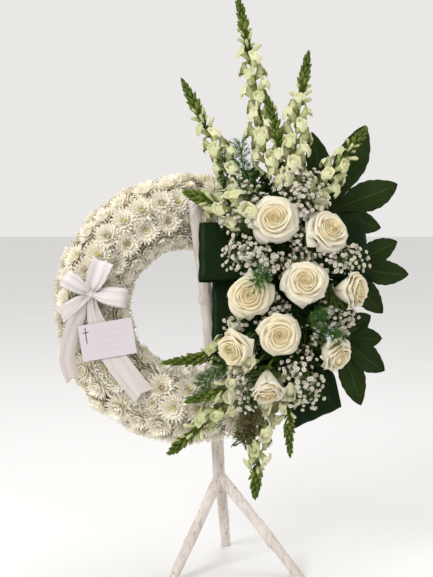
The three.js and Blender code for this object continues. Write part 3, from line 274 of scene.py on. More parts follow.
# The ring's channel and the spray's dish are dark green moulded plastic, and so are the two straps.
# The foam in them is soft green and full of fine pores. Little of either shows once the flowers are in.
moulded = Finish("dark_green_plastic", roughness=0.42, specular_ior_level=0.5)
fine = moulded.grain(0.0012)
moulded.feed(Base_Color=moulded.mixed(fine, (0.010, 0.030, 0.014), (0.018, 0.048, 0.022)), Roughness=0.36 + fine * 0.16)
moulded.bump(fine, 0.25, 0.0004)
refinish(moulded, "ring_channel", "spray_dish", "strap_upper", "strap_lower")

wet_foam = Finish("floral_foam", roughness=0.95, specular_ior_level=0.1)
pores = wet_foam.grain(0.0016, detail=4)
damp = wet_foam.grain(0.03)
foam_green = wet_foam.mixed(damp, (0.015, 0.062, 0.022), (0.028, 0.095, 0.035))
wet_foam.feed(Base_Color=wet_foam.mixed(pores.between(0.3, 0.5), (0.006, 0.025, 0.009), foam_green))
wet_foam.bump(pores, 0.8, 0.0012)
refinish(wet_foam, "ring_foam", "spray_foam")


# The chrysanthemums: some two hundred white spray heads, cut short and stood close together in the foam.
# Each head is half double: tiers of narrow petals that rise towards a small yellow-green eye.
# A bed is one piece for each CAD bed, and its heads stand where the bed's surface is.
white_petal = Finish(
    "chrysanthemum_petal", roughness=0.62, specular_ior_level=0.25, subsurface_weight=0.3,
    subsurface_radius=(0.004, 0.003, 0.002), subsurface_scale=1.0,
)
tip = white_petal.along("Y")
side = abs(white_petal.along("X") - 0.5)
ridges = abs((white_petal.along("X") * 28.0).sine())
blush = white_petal.grain(0.03)
head_tone = white_petal.told("tone")
cream = white_petal.mixed(blush, (0.975, 0.90, 0.745), (0.985, 0.945, 0.835))
petal_colour = white_petal.mixed((1 - tip.between(0.0, 0.55)) * (0.2 + head_tone * 0.7), cream, (0.86, 0.85, 0.46))
tip_edge = side.between(0.38, 0.5) * tip.between(0.7, 1.0)
petal_colour = white_petal.mixed(tip_edge * 0.12, petal_colour, (0.72, 0.60, 0.44))
white_petal.feed(Base_Color=petal_colour)
white_petal.bump(ridges * 0.5 - side, 0.3, 0.0008)

flower_eye = Finish("chrysanthemum_eye", roughness=0.85, specular_ior_level=0.2)
dots = flower_eye.node("ShaderNodeTexVoronoi", {}, {"Vector": flower_eye.place(), "Scale": 900.0})
flower_eye.feed(Base_Color=flower_eye.mixed(dots.between(0.1, 0.6), (0.70, 0.65, 0.27), (0.50, 0.49, 0.15)))
flower_eye.bump(1 - dots, 0.6, 0.001)

# Painted shade: the surface of lower petals between the heads is a darker beige than the petals, in noisy patches,
# standing for the shade among the crowded heads.
lower_petals_painted_shade = Finish("chrysanthemum_lower_petals_painted_shade", roughness=0.8, specular_ior_level=0.15)
crowd = lower_petals_painted_shade.grain(0.006, detail=4)
shaded = lower_petals_painted_shade.mixed(crowd.between(0.35, 0.65), (0.66, 0.62, 0.42), (0.96, 0.92, 0.79))
lower_petals_painted_shade.feed(Base_Color=shaded)
lower_petals_painted_shade.bump(crowd, 0.9, 0.004)


def copied(bm, mesh, matrix):
    """Adds a copy of a mesh to a bmesh."""
    one = mesh.copy()
    one.transform(matrix)
    bm.from_mesh(one)
    bpy.data.meshes.remove(one)


def aimed(middle, axis, spin=0.0, size=1.0):
    """The place of a shape that is made along +Z: its foot, the way it points, a turn about that, and its size."""
    turned = Vector((0, 0, 1)).rotation_difference(axis).to_matrix().to_4x4()
    return Matrix.Translation(middle) @ turned @ Matrix.Rotation(spin, 4, "Z") @ Matrix.Scale(size, 4)


# Tiers of a head, from the lowest: petals, how high they point, and their length and half width.
HEAD_TIERS = [
    (22, -22, 27, 2.9), (23, -3, 28, 2.9), (22, 16, 26, 2.8), (20, 34, 22, 2.7), (16, 52, 16, 2.4), (11, 70, 10, 1.9),
]


def mum(seed, openness):
    draw = Random(seed)
    bm = new_mesh()
    for tier, (count, rise, length, half) in enumerate(HEAD_TIERS):
        for k in range(count):
            turn = 2 * pi * (k + 0.5 * (tier % 2) + 0.28 * (draw.random() - 0.5)) / count
            pitch = radians(rise * openness + 9 * (draw.random() - 0.5))
            far = length * (0.86 + 0.22 * draw.random())
            roll = 0.5 * (draw.random() - 0.5)
            curl = radians(26 + 18 * draw.random())

            def petal(s, t):
                width = half * (0.34 + 0.66 * sin(pi * min(t * 0.86 + 0.06, 1)) ** 0.8) * (1 if t < 0.98 else 0.45)
                angle = pitch + curl * (t - 0.25)
                out = 1.6 + far * (t * cos(pitch) * 0.55 + 0.45 * t * cos(angle))
                high = tier * 0.9 + far * (0.55 * t * sin(pitch) + 0.45 * t * sin(angle))
                high += 1.7 * s * s * (1 - 0.4 * t)
                aside, way = s * width, turn + roll
                return Vector((out * cos(turn) - aside * sin(way), out * sin(turn) + aside * cos(way), high))

            laid(bm, 2, 3 if tier < 2 else 4, petal, tier / 5)
    eye_height = 7.5
    place = Matrix.Translation((0, 0, eye_height))
    eye = bmesh.ops.create_icosphere(bm, subdivisions=2, radius=3.6, matrix=place)["verts"]
    for point in eye:
        point.co.z = eye_height + (point.co.z - eye_height) * 0.7
    for face in {face for point in eye for face in point.link_faces}:
        face.material_index, face.smooth = 1, True
    return kept(f"head_{seed}", bm)


mums = [mum(seed, openness) for seed, openness in enumerate((1.0, 1.0, 0.85, 1.15, 1.25))]
RING_RADIUS = 195
REACH = 56  # how far the underside of a head is from the middle of the ring's section
ROWS = (-28, 8, 44, 80, 116, 152, 188, 214)
HEAD_SPACING = 43
BEDS = {
    "upper_left": (86, 131), "left_high": (131, 176), "left_low": (176, 221), "lower_left": (221, 266),
    "foot": (266, 311), "outer_right": (311, 401), "inner_right": (311, 401), "upper_right": (41, 86),
}


def pole_clearance(point):
    """How far a point of the ring's frame is from the pole's bark."""
    world = STAND.inverted() @ (RING @ point)
    share = max(0, min(1, (world.z - POLE_FOOT.z) / (POLE_TOP.z - POLE_FOOT.z)))
    middle = POLE_FOOT.lerp(POLE_TOP, share) + POLE_BOW * sin(pi * share)
    return hypot(world.x - middle.x, world.y - middle.y) - POLE_RADII[0] - (POLE_RADII[1] - POLE_RADII[0]) * share


# What lies on the ring's front and presses the heads down: the knot, points of the two tails, and the card's middle,
# with the reach of each.
PRESSED = [
    (-188, 14, 22), (-182, -20, 24), (-172, -55, 24), (-160, -80, 26), (-144, -103, 32), (-126, -127, 34),
    (-105, -152, 34), (-86, -176, 32), (-212, -24, 18), (-226, -62, 18), (-190, -78, 34), (-156, -70, 44),
    (-122, -62, 34),
]
PRESSED_DEPTH, PRESSED_SIZE = 11, 0.84


def jolt(draw):
    """A small random shift, up to half a unit each way."""
    return Vector((draw.random() - 0.5, draw.random() - 0.5, draw.random() - 0.5))


draw = Random(5)
for name, (first, last) in BEDS.items():
    bed = new_mesh()
    low, high = (-40, 24) if name == "outer_right" else (154, 220) if name == "inner_right" else (-40, 220)

    def under_petals(s, t):
        """The crowded lower petals, as a lumpy surface close to the foam, coloured in painted shade. It gives way to
        the pole and the dish.
        """
        turn = radians(first + (last - first) * (s + 1) / 2)
        section = radians(low + (high - low) * t)
        ray = at(cos(turn), sin(turn), 0)
        axis = ray * cos(section) + at(0, 0, 1) * sin(section)
        level = 49 + 5 * noise.noise(ray * 30 + axis * 6) + 3 * noise.noise((ray * RING_RADIUS + axis * 50) / 6)
        point = ray * RING_RADIUS + axis * level
        while level > 38 and (
            pole_clearance(point) < 1 or 146 < point.x < 246 and -90 < point.z < 140 and -point.y > 33
        ):
            level -= 1
            point = ray * RING_RADIUS + axis * level
        return point

    laid(bed, round((last - first) * 0.9), round((high - low) / 4.5), under_petals, 0.5, 2)
    for row, degrees in enumerate(ROWS):
        if name == "outer_right" and row > 1 or name == "inner_right" and row < 5:
            continue
        section = radians(degrees)
        count = round(radians(last - first) * (RING_RADIUS + REACH * cos(section)) / HEAD_SPACING)
        for k in range(count):
            turn = radians(first + (last - first) * (k + 0.25 + 0.5 * (row % 2) + 0.3 * (draw.random() - 0.5)) / count)
            tilt = section + 0.12 * (draw.random() - 0.5)
            ray = at(cos(turn), sin(turn), 0)
            axis = (ray * cos(tilt) + at(0, 0, 1) * sin(tilt)).normalized()
            level = REACH - 1 + 5 * (draw.random() - 0.5)
            middle = ray * RING_RADIUS + axis * level
            u, w, v = middle.x, -middle.y, middle.z
            under = w > 20 and any(hypot(u - x, v - z) < reach for x, z, reach in PRESSED)
            if under:
                middle -= axis * PRESSED_DEPTH
            if 136 < u < 258 and -100 < v < 150 and w > 26 or pole_clearance(middle + axis * 6) < 8:
                continue
            axis = (axis + 0.22 * jolt(draw)).normalized()
            room = min(1, (pole_clearance(middle + axis * 6) + 4) / 26)
            head, spin = draw.choice(mums), draw.random() * 6
            size = (1.04 + 0.2 * draw.random()) * room * (PRESSED_SIZE if under else 1)
            copied(bed, head, aimed(middle, axis, spin, size))
    finishes = [white_petal, flower_eye, lower_petals_painted_shade]
    shown(f"chrysanthemum_bed_{name}", bed, RING, finishes, "chrysanthemum", f"chrysanthemums_{name}")


# The greens that hide the block: a mat of moss and small leaves on its front, with leaf tips out of it all round.
# Dark green, waxy, with a paler rib.
dark_leaf = Finish("dark_greens", roughness=0.45, specular_ior_level=0.08)
rib = 1 - abs(dark_leaf.along("X") - 0.5).between(0.02, 0.08)
veins = abs((dark_leaf.along("Y") * 40.0 - abs(dark_leaf.along("X") - 0.5) * 30.0).sine())
patch = dark_leaf.grain(0.02, detail=3)
leaf_green = dark_leaf.mixed(patch, (0.004, 0.016, 0.001), (0.018, 0.044, 0.004))
dusty_brown = dark_leaf.mixed(patch, (0.075, 0.090, 0.026), (0.200, 0.150, 0.075))
leaf_green = dark_leaf.mixed(dark_leaf.told("tone"), leaf_green, dusty_brown)
dark_leaf.feed(Base_Color=dark_leaf.mixed(rib * 0.3, leaf_green, (0.05, 0.10, 0.02)), Roughness=0.38 + patch * 0.2)
dark_leaf.bump(rib * 0.6 + veins * 0.3, 0.4, 0.0006)


def small_leaf(length, half, fold, curl, tone=0.0, look=0):
    """A small pointed leaf along +Z with its face towards -Y."""
    bm = new_mesh()
    laid(bm, 2, 6, lambda s, t: Vector((
        s * half * sin(pi * min(1, 0.08 + 0.92 * t)) ** 0.8,
        fold * s * s - curl * t * t * length,
        length * t,
    )), tone, look)
    return kept("small_leaf", bm)


def curve_through(points, count):
    """Points at even distances along a centripetal Catmull-Rom curve, each with the way the curve runs."""
    ends = [points[0] * 2 - points[1], *points, points[-1] * 2 - points[-2]]
    fine = []
    for a, b, c, d in zip(ends, ends[1:], ends[2:], ends[3:]):
        ab, bc, cd = (max((q - p).length, 1e-6) ** 0.5 for p, q in ((a, b), (b, c), (c, d)))
        leave = ((b - a) / ab - (c - a) / (ab + bc) + (c - b) / bc) * bc
        arrive = ((c - b) / bc - (d - b) / (bc + cd) + (d - c) / cd) * bc
        for k in range(40):
            t = k / 40
            start = b * (2 * t**3 - 3 * t**2 + 1) + leave * (t**3 - 2 * t**2 + t)
            fine.append(start + c * (3 * t**2 - 2 * t**3) + arrive * (t**3 - t**2))
    fine.append(points[-1])
    reach = [0.0]
    for before, after in zip(fine, fine[1:]):
        reach.append(reach[-1] + (after - before).length)

    def point(share):
        want = max(0, min(1, share)) * reach[-1]
        k = next((k for k in range(1, len(reach)) if reach[k] >= want), len(reach) - 1)
        return fine[k - 1].lerp(fine[k], (want - reach[k - 1]) / max(reach[k] - reach[k - 1], 1e-6))

    last = count - 1
    ways = [(point((k + 0.5) / last) - point((k - 0.5) / last)).normalized() for k in range(count)]
    return [(point(k / last), way) for k, way in enumerate(ways)]


def length_of(path):
    return sum((after[0] - before[0]).length for before, after in zip(path, path[1:]))


def beside(along, turn):
    """The way that lies square to a stem, turned about it."""
    return Quaternion(along, turn) @ Vector((0.3, -1, 0.2)).cross(along).normalized()


def stalk(bm, points, radius, sides=8, look=0, tone=0.0):
    """A round stalk through points, a little thinner at its end."""
    last = len(points) - 1

    def skin(s, t):
        here = min(int(t * last), last - 1)
        share = t * last - here
        middle = points[here].lerp(points[here + 1], share)
        way = (points[min(here + 2, last)] - points[max(here - 1, 0)]).normalized()
        side = Vector((0.3, -1, 0.23)).cross(way).normalized()
        return middle + radius * (1 - 0.3 * t) * (cos(pi * s) * side + sin(pi * s) * way.cross(side))

    tube = laid(bm, sides, 3 * last, skin, tone, look)
    bmesh.ops.remove_doubles(bm, verts=tube, dist=0.02)


greens_leaf = small_leaf(40, 9, 2.5, 0.16)
narrow_leaf = small_leaf(34, 4, 1.2, 0.22)
dusty_leaf = small_leaf(19, 4.6, 1.6, 0.3, 1.0)
MAT_U, MAT_V, MAT_HALF_WIDTH, MAT_HALF_HEIGHT = 196, 25, 41, 106
greens = new_mesh()


def moss(s, t):
    u, v = MAT_U + MAT_HALF_WIDTH * s, MAT_V - MAT_HALF_HEIGHT + 2 * MAT_HALF_HEIGHT * t
    edge = min(1, 12 * (1 - abs(s)), 30 * t, 30 * (1 - t))
    lump = 3.5 * noise.fractal(Vector((u / 9, v / 9, 3)), 0.7, 2, 4)
    return at(u, v, 112.5 + edge * (8 + lump))


laid(greens, 36, 80, moss)
draw = Random(12)
for k in range(150):
    u = MAT_U + MAT_HALF_WIDTH * (2 * draw.random() - 1)
    v = MAT_V + MAT_HALF_HEIGHT * (2 * draw.random() - 1)
    lean_u = (u - MAT_U) / MAT_HALF_WIDTH * 0.7 + draw.random() - 0.5
    lean_v = (v - MAT_V) / MAT_HALF_HEIGHT * 0.8 + draw.random() - 0.5
    lean, size = Vector((lean_u, -0.75, lean_v)).normalized(), 0.7 + 0.5 * draw.random()
    copied(greens, greens_leaf if k % 3 else narrow_leaf, aimed(at(u, v, 118), lean, draw.random() * 6, size))
for k in range(64):
    angle = 2 * pi * (k + draw.random()) / 64
    x, z = cos(angle), sin(angle)
    reach = 1 / max(abs(x), abs(z))
    foot = at(MAT_U + 36 * x * reach, MAT_V + 100 * z * reach, 117)
    lean = Vector((x, -0.1 - 0.5 * draw.random(), z)).normalized()
    copied(greens, greens_leaf, aimed(foot, lean, draw.random() * 6, 0.95 + 0.4 * draw.random()))
# Leafy sprigs reach out of the block behind the flowers: the line of each, and how many leaves it has.
SPRIGS = [
    ([(160, 120, 116), (120, 160, 118), (84, 196, 112)], 24), ([(170, 128, 112), (140, 190, 116), (118, 250, 110)], 26),
    ([(190, 130, 112), (180, 200, 120), (176, 262, 116)], 26),
    ([(205, 130, 112), (222, 190, 122), (240, 250, 116)], 24),
    ([(160, 90, 114), (110, 110, 124), (74, 140, 118)], 22),
    ([(180, -80, 112), (150, -130, 112), (120, -180, 108)], 24),
    ([(170, -76, 112), (120, -120, 110), (80, -160, 102)], 24),
    ([(200, -82, 112), (200, -140, 116), (200, -200, 108)], 24),
    ([(222, -80, 112), (240, -130, 118), (250, -180, 110)], 22),
    ([(160, -60, 112), (110, -90, 110), (60, -120, 102)], 20),
    ([(236, 60, 112), (270, 80, 120), (310, 96, 118)], 18), ([(236, -20, 112), (266, -30, 122), (300, -40, 116)], 18),
    ([(176, 130, 112), (130, 170, 104), (70, 226, 96)], 26), ([(182, 130, 104), (150, 176, 98), (110, 214, 92)], 34),
    ([(196, 130, 104), (180, 180, 100), (160, 226, 96)], 34), ([(212, 130, 104), (206, 176, 104), (206, 226, 100)], 34),
    ([(180, 130, 96), (150, 190, 92), (136, 240, 88)], 34), ([(224, 130, 104), (240, 170, 104), (262, 204, 98)], 30),
    ([(196, 130, 98), (164, 190, 98), (160, 242, 92)], 30), ([(238, 30, 104), (274, 2, 106), (306, -26, 102)], 34),
    ([(238, 0, 100), (276, -30, 100), (304, -56, 98)], 34), ([(176, -80, 104), (130, -120, 92), (84, -150, 84)], 30),
    ([(182, -80, 100), (150, -140, 96), (124, -200, 92)], 34),
]
for line, leaves in SPRIGS:
    path = curve_through([at(*point) for point in line], 60)
    stalk(greens, [path[j][0] for j in range(0, 60, 6)], 1.1, 5)
    for k in range(leaves):
        place, along = path[min(59, round(60 * (0.2 + 0.8 * k / leaves)))]
        lean = (beside(along, k * 2.4 + draw.random()) + along * (0.3 + 0.5 * draw.random())).normalized()
        leaf = draw.choice((greens_leaf, narrow_leaf))
        copied(greens, leaf, aimed(place, lean, draw.random() * 6, 0.5 + 0.3 * draw.random()))
# One tuft of small brownish leaves hangs below the ring.
tuft_line = curve_through([at(176, -80, 100), at(142, -160, 116), at(120, -218, 118), at(106, -262, 112)], 60)
stalk(greens, [tuft_line[j][0] for j in range(0, 60, 6)], 1.2, 5)
for k in range(190):
    place, along = tuft_line[min(59, 38 + k * 22 // 190)]
    lean = (beside(along, k * 2.4) + along * (0.2 + 0.6 * draw.random())).normalized()
    foot = place + lean * 15 * draw.random()
    copied(greens, dusty_leaf, aimed(foot, lean, draw.random() * 6, 0.5 + 0.4 * draw.random()))
shown("filler_leaves", greens, RING, [dark_leaf], "leaf", "filler_greens")


# Fatsia leaves: large lobed leaves on stalks from the block's side. Thick, dark and glossy, with pale ribs
# that fan from the stalk, one to a lobe, and finer veins that leave each rib.
glossy_leaf = Finish("fatsia_leaf", roughness=0.3, specular_ior_level=0.1, coat_weight=0.03, coat_roughness=0.1)
off_rib = abs(glossy_leaf.along("X") - 0.5) * 2.0
main_rib = 1 - off_rib.between(0.012, 0.05)
run = glossy_leaf.along("Y") * 62.0 - off_rib * 20.0
side_veins = run.sine().between(0.93, 1.0)
blotch = glossy_leaf.grain(0.045, detail=3)
fatsia_green = glossy_leaf.mixed(blotch, (0.005, 0.015, 0.0005), (0.017, 0.036, 0.002))
fatsia_green = glossy_leaf.mixed(side_veins * 0.16, fatsia_green, (0.05, 0.09, 0.01))
fatsia_green = glossy_leaf.mixed(main_rib * 0.4, fatsia_green, (0.08, 0.14, 0.02))
glossy_leaf.feed(Base_Color=fatsia_green, Roughness=0.18 + blotch * 0.2)
glossy_leaf.bump(run.sine() * 0.25 - main_rib * 0.8, 0.5, 0.0012)

FATSIAS = {
    "upper": (
        (267, 174, 72), (239, 100, 70),
        [(-12, 112, 22), (24, 158, 29), (64.7, 203, 31), (96.7, 171, 23), (134, 120, 22)],
    ),
    "middle": (
        (302, 74, 62), (239, 52, 62), [(-88, 88, 20), (-50, 120, 23), (-8, 130, 24), (23, 118, 23), (60, 84, 22)],
    ),
    "lower": ((284, -61, 76), (239, -34, 72), [(-69, 144, 24), (-36, 117, 25), (-6, 90, 22), (26, 78, 20)]),
}


def lobed_leaf(bm, middle, lobes):
    for k, (degrees, length, half) in enumerate(lobes):
        low = (degrees + lobes[k - 1][0]) / 2 if k else degrees - 62
        high = (degrees + lobes[k + 1][0]) / 2 if k < len(lobes) - 1 else degrees + 62
        web = (16 if k == 0 else 31, 16 if k == len(lobes) - 1 else 31)

        def lobe(s, t):
            way = radians(degrees)
            span = abs(radians(low if s < 0 else high) - way)
            pinch = web[0] if s < 0 else web[1]
            if t < 0.58:
                width = half * (0.62 + 0.38 * sin(pi * min(1, t / 0.58) - pi / 2))
            else:
                width = half * max(0, cos((t - 0.58) / 0.42 * pi / 2)) ** 0.75
            far = 2 + (length - 2) * t
            sway = 3.2 * sin(5 * t + k) * t
            off = s * width * (1 + 0.07 * abs(sin(26 * t)) * (abs(s) > 0.9))
            fan = (far * cos(way + span * s), far * sin(way + span * s))
            rib_x, rib_y = far * cos(way) - sway * sin(way), far * sin(way) + sway * cos(way)
            edge = (rib_x - off * sin(way), rib_y + off * cos(way))
            blend = 1 if far < pinch else max(0, 1 - (far - pinch) / 30)
            x, y = (fan[i] * blend + edge[i] * (1 - blend) for i in (0, 1))
            out = hypot(x, y)
            past = max(out - 31, 0)
            arch = 8 * sin(pi * min(past / 130, 1)) - 0.0006 * past * past
            crease = -2.6 * (1 - s * s) + 1.1 * sin(19 * t + 2 * k) * abs(s) ** 1.5
            return Vector((x, -arch - crease * (1 - 0.5 * blend) * t ** 0.5, y)) + middle

        laid(bm, 12, 34, lobe)
    bmesh.ops.remove_doubles(bm, verts=bm.verts, dist=0.3)
    bmesh.ops.recalc_face_normals(bm, faces=bm.faces)


for name, (middle, entry, lobes) in FATSIAS.items():
    leaf = new_mesh()
    lobed_leaf(leaf, at(*middle), lobes)
    bmesh.ops.solidify(leaf, geom=leaf.faces[:], thickness=0.7)
    stalk(leaf, [at(*entry) + at(-10, 0, 0), at(*entry).lerp(at(*middle), 0.5) + at(0, 3, 2), at(*middle)], 2.4)
    shown(f"fatsia_leaf_{name}", leaf, RING, [glossy_leaf], "leaf", f"fatsia_{name}")


# Aspidistra leaves: broad dark leaves, each bent back on itself into a loop and pinned to the block's side.
# They are smooth, with fine parallel veins that run their length.
ribbed_leaf = Finish("aspidistra_leaf", roughness=0.36, specular_ior_level=0.09)
lines = (ribbed_leaf.along("X") * 190.0).sine()
broad = (ribbed_leaf.along("X") * 47.0).sine()
shade = ribbed_leaf.grain(0.05, detail=3)
aspidistra_green = ribbed_leaf.mixed(shade, (0.002, 0.009, 0.001), (0.006, 0.020, 0.003))
aspidistra_green = ribbed_leaf.mixed(lines.between(0.4, 1.0) * 0.22, aspidistra_green, (0.016, 0.038, 0.010))
ribbed_leaf.feed(Base_Color=aspidistra_green, Roughness=0.26 + shade * 0.16)
ribbed_leaf.bump(lines * 0.4 + broad * 0.6, 0.35, 0.0006)

LOOPS = {
    "left": ((152.5, 97), (-1, 0), (0, 1), 132, 84, 113, 81, 107, 0),
    "inner": ((149.7, -14), (-1, 0), (0, 1), 104, 60, 112, 47, 68, 0),
    "right": ((239.5, 96), (1, 0.16), (0, 1), 106, 64, 128, 83, 101, 0.14),
    "foot": ((219, -83.5), (0.2, -0.98), (1, 0), 140, 30, 104, 64, 80, 0.41),
}
for name, (root, out, across, reach, near, wide, back, front, slant) in LOOPS.items():
    root, out, across = at(*root, 0), at(*out, 0), at(*across, 0)
    middle, bend = (back + front) / 2, (front - back) / 2
    straight = reach - bend

    def loop(s, t):
        if t < 0.42:
            share = t / 0.42
            far, forward = share * straight, (middle - 3 if share < 0.03 else back + 2 * (1 - share))
        elif t > 0.58:
            share = (1 - t) / 0.42
            far, forward = share * straight, (middle + 3 if share < 0.03 else front - 2 * (1 - share))
        else:
            angle = -pi / 2 + pi * (t - 0.42) / 0.16
            far, forward = straight + bend * cos(angle), middle + bend * sin(angle)
        share = min(far / (0.62 * reach), 1)
        width = near + (wide - near) * sin(share * pi / 2)
        ripple = 0.8 * sin(9 * s + 5 * t) * share
        skewed = across - out * (slant * share)
        return root + out * (far + ripple) + at(0, 0, forward + 0.6 * sin(7 * s) * share) + skewed * (width / 2 * s)

    leaf = new_mesh()
    laid(leaf, 20, 60, loop)
    bmesh.ops.solidify(leaf, geom=leaf.faces[:], thickness=0.7)
    bmesh.ops.recalc_face_normals(leaf, faces=leaf.faces)
    shown(f"aspidistra_loop_{name}", leaf, RING, [ribbed_leaf], "leaf", f"aspidistra_{name}")


# The roses: nine cream-white garden roses. Each has a tight spiral heart and tiers of broad petals whose rims
# roll outwards. A green calyx holds the petals, on a stem that stands in the block.
rose_petal = Finish(
    "rose_petal", roughness=0.5, specular_ior_level=0.3, subsurface_weight=0.3,
    subsurface_radius=(0.006, 0.004, 0.002), subsurface_scale=0.8,
)
depth = rose_petal.told("tone")
rim = rose_petal.along("Y")
fibres = rose_petal.grain(0.5, (26, 2, 1), 3, "UV")
soft = rose_petal.grain(0.02)
rose_white = rose_petal.mixed(soft, (0.765, 0.68, 0.515), (0.815, 0.75, 0.605))
rose_cream = rose_petal.mixed(depth.between(0.1, 0.9) * 0.85, rose_white, (0.82, 0.675, 0.385))
rose_cream = rose_petal.mixed((1 - rim.between(0.1, 0.75)) * 0.4, rose_cream, (0.80, 0.685, 0.40))
rose_cream = rose_petal.mixed(rim.between(0.92, 1.0) * 0.12, rose_cream, (0.76, 0.62, 0.42))
rose_petal.feed(Base_Color=rose_cream)
rose_petal.bump(fibres * 0.5 + soft * 0.5, 0.22, 0.0008)

green_stem = Finish("green_stem", roughness=0.5, specular_ior_level=0.35)
fleck = green_stem.grain(0.008, detail=3)
green_stem.feed(Base_Color=green_stem.mixed(fleck, (0.055, 0.105, 0.012), (0.120, 0.180, 0.030)))
green_stem.bump(fleck, 0.2, 0.0006)

# Tiers of a rose, from the heart out, as shares of its radius and height: petals, half span in degrees,
# radius at the rim, height of the rim, how far the rim rolls out, and how far the petal leans open.
ROSE_TIERS = [
    (2, 165, 0.06, 0.86, 0.00, 0.0), (3, 126, 0.12, 0.90, 0.01, 0.0), (3, 110, 0.20, 0.93, 0.02, 0.1),
    (3, 104, 0.30, 0.95, 0.03, 0.2), (4, 86, 0.42, 0.95, 0.06, 0.4), (4, 78, 0.58, 0.92, 0.10, 0.7),
    (5, 66, 0.76, 0.82, 0.14, 0.9), (5, 60, 0.85, 0.64, 0.19, 0.8), (4, 56, 0.81, 0.44, 0.25, 0.5),
]


def rose(bm, radius, seed, openness, tall, warm):
    draw = Random(seed)
    height = tall * radius
    shut = max(0, min(1, (tall - 1.35) / 0.5))  # a tall rose is half open: its outer petals wrap it further up
    phase = draw.random() * 6
    for tier, (count, span, reach, top, roll, lean) in enumerate(ROSE_TIERS):
        for k in range(count):
            centre = phase + tier * 2.4 + 2 * pi * (k + 0.24 * (draw.random() - 0.5)) / count
            wide = radians(span) * (0.9 + 0.2 * draw.random())
            rim_radius = radius * reach * (0.93 + 0.13 * draw.random()) * (openness if tier > 4 else 1)
            rim_height = height * (top + 0.75 * shut * (0.95 - top)) * (0.95 + 0.08 * draw.random())
            curl = radius * roll * (0.5 + 1.0 * draw.random()) * (1 - 0.4 * shut)
            peak = 0.05 * height * draw.random() * (tier > 4)
            wobble = draw.random() * 9
            tuck = 0.05 + 0.03 * draw.random()

            def petal(s, t):
                width = (0.30 + 0.70 * min(1, t / 0.6) ** 0.8) * (1 - 0.36 * max(0, (t - 0.66) / 0.34) ** 2.2)
                angle = centre + s * wide * width
                upright = sin(min(1, t / 0.62) * pi / 2) ** 0.8
                belly = upright * (1 - lean) + (0.45 * upright + 0.55 * t ** 1.5) * lean
                out = radius * 0.09 + (rim_radius - radius * 0.09) * belly
                out += (tuck * radius if tier else 1.4) * s * (0.3 + 0.7 * t)
                lip = max(0, (t - 0.68) / 0.32)
                out += curl * lip * lip * (0.7 + 0.3 * s * s)
                high = rim_height * (1 - (1 - t) ** 1.5)
                high += peak * (1 - s * s) ** 2 * lip - (0.09 * height * s * s + 0.75 * curl * lip) * t * t
                out += 0.028 * radius * sin(3.5 * s + wobble) * t * (tier > 2)
                high += 0.022 * height * sin(4.3 * s + wobble) * lip * (tier > 2)
                return Vector((out * cos(angle), out * sin(angle), high - height / 2))

            laid(bm, 12, 10, petal, warm + (1 - warm) * (1 - tier / 8))
    laid(bm, 16, 6, lambda s, t: Vector((  # the crowded petals that close the gaps of the heart
        0.66 * radius * t * cos(pi * s), 0.66 * radius * t * sin(pi * s),
        height * (0.245 + 0.09 * sin(pi * min(1, 0.9 * t)) - 0.12 * t * t),
    )), 0.9)


def calyx(bm, radius, tall, look):
    for k in range(5):
        turn = 2 * pi * k / 5

        def sepal(s, t):
            out = 2.5 + radius * 0.42 * sin(t * pi / 2)
            return Vector((
                out * cos(turn) - s * 4.5 * (1 - t) ** 0.6 * sin(turn),
                out * sin(turn) + s * 4.5 * (1 - t) ** 0.6 * cos(turn),
                -0.5 * tall * radius - 4 + 0.34 * radius * t * t - 4 * sin(pi * t),
            ))

        laid(bm, 2, 5, sepal, 0.0, look)


# Each rose: its middle, the way it faces, its radius, where its stem enters the block, and how open, tall and
# warm it is.
ROSES = [
    ((164, 150, 160), (-0.1, 0.1, 1), 46, (180, 106, 112), 1.0, 1.32, 0.0),
    ((263, 129, 152), (0.42, 0.3, 0.9), 41, (224, 104, 112), 1.0, 1.4, 0.0),
    ((118, 6, 158), (-0.2, 0, 1), 42, (165, 12, 112), 1.0, 1.32, 0.3),
    ((219, 30, 172), (0, 0.1, 1), 41, (208, 50, 112), 1.0, 1.32, 0.1),
    ((304, 18, 150), (0.88, 0, 0.46), 37, (229, 10, 112), 0.94, 1.7, 0.15),
    ((90, -91, 150), (-0.5, -0.42, 0.75), 36, (164, -36, 112), 0.92, 1.5, 0.35),
    ((171, -67, 170), (0.05, -0.18, 1), 40, (190, -36, 112), 1.0, 1.32, 0.3),
    ((274, -100, 145), (0.66, -0.5, 0.46), 36, (229, -38, 112), 0.95, 1.6, 0.0),
    ((150, -160, 152), (0.02, -0.88, 0.48), 36, (186, -74, 112), 0.86, 1.8, 0.05),
]
for k, (middle, face, radius, entry, openness, tall, warm) in enumerate(ROSES):
    middle, entry, axis = at(*middle), at(*entry), at(*face).normalized()
    petals = new_mesh()
    rose(petals, radius, 30 + k, openness, tall, warm)
    bmesh.ops.transform(petals, matrix=aimed(middle, axis), verts=petals.verts)
    bloom = shown(f"rose_bloom_{k + 1}", petals, RING, [rose_petal], "rose", f"rose_{k + 1}")
    skin = bloom.modifiers.new("thickness", "SOLIDIFY")
    skin.thickness, skin.offset = 0.0005, 0
    stem = new_mesh()
    calyx(stem, radius, tall, 0)
    bmesh.ops.transform(stem, matrix=aimed(middle, axis), verts=stem.verts)
    base = middle - axis * (0.5 * tall * radius)
    root = entry + (entry - base).normalized() * 10
    stalk(stem, [root, entry.lerp(base, 0.5), base - axis * 6, base + axis * 3], 2.8, 8)
    shown(f"rose_stem_{k + 1}", stem, RING, [green_stem], "rose")


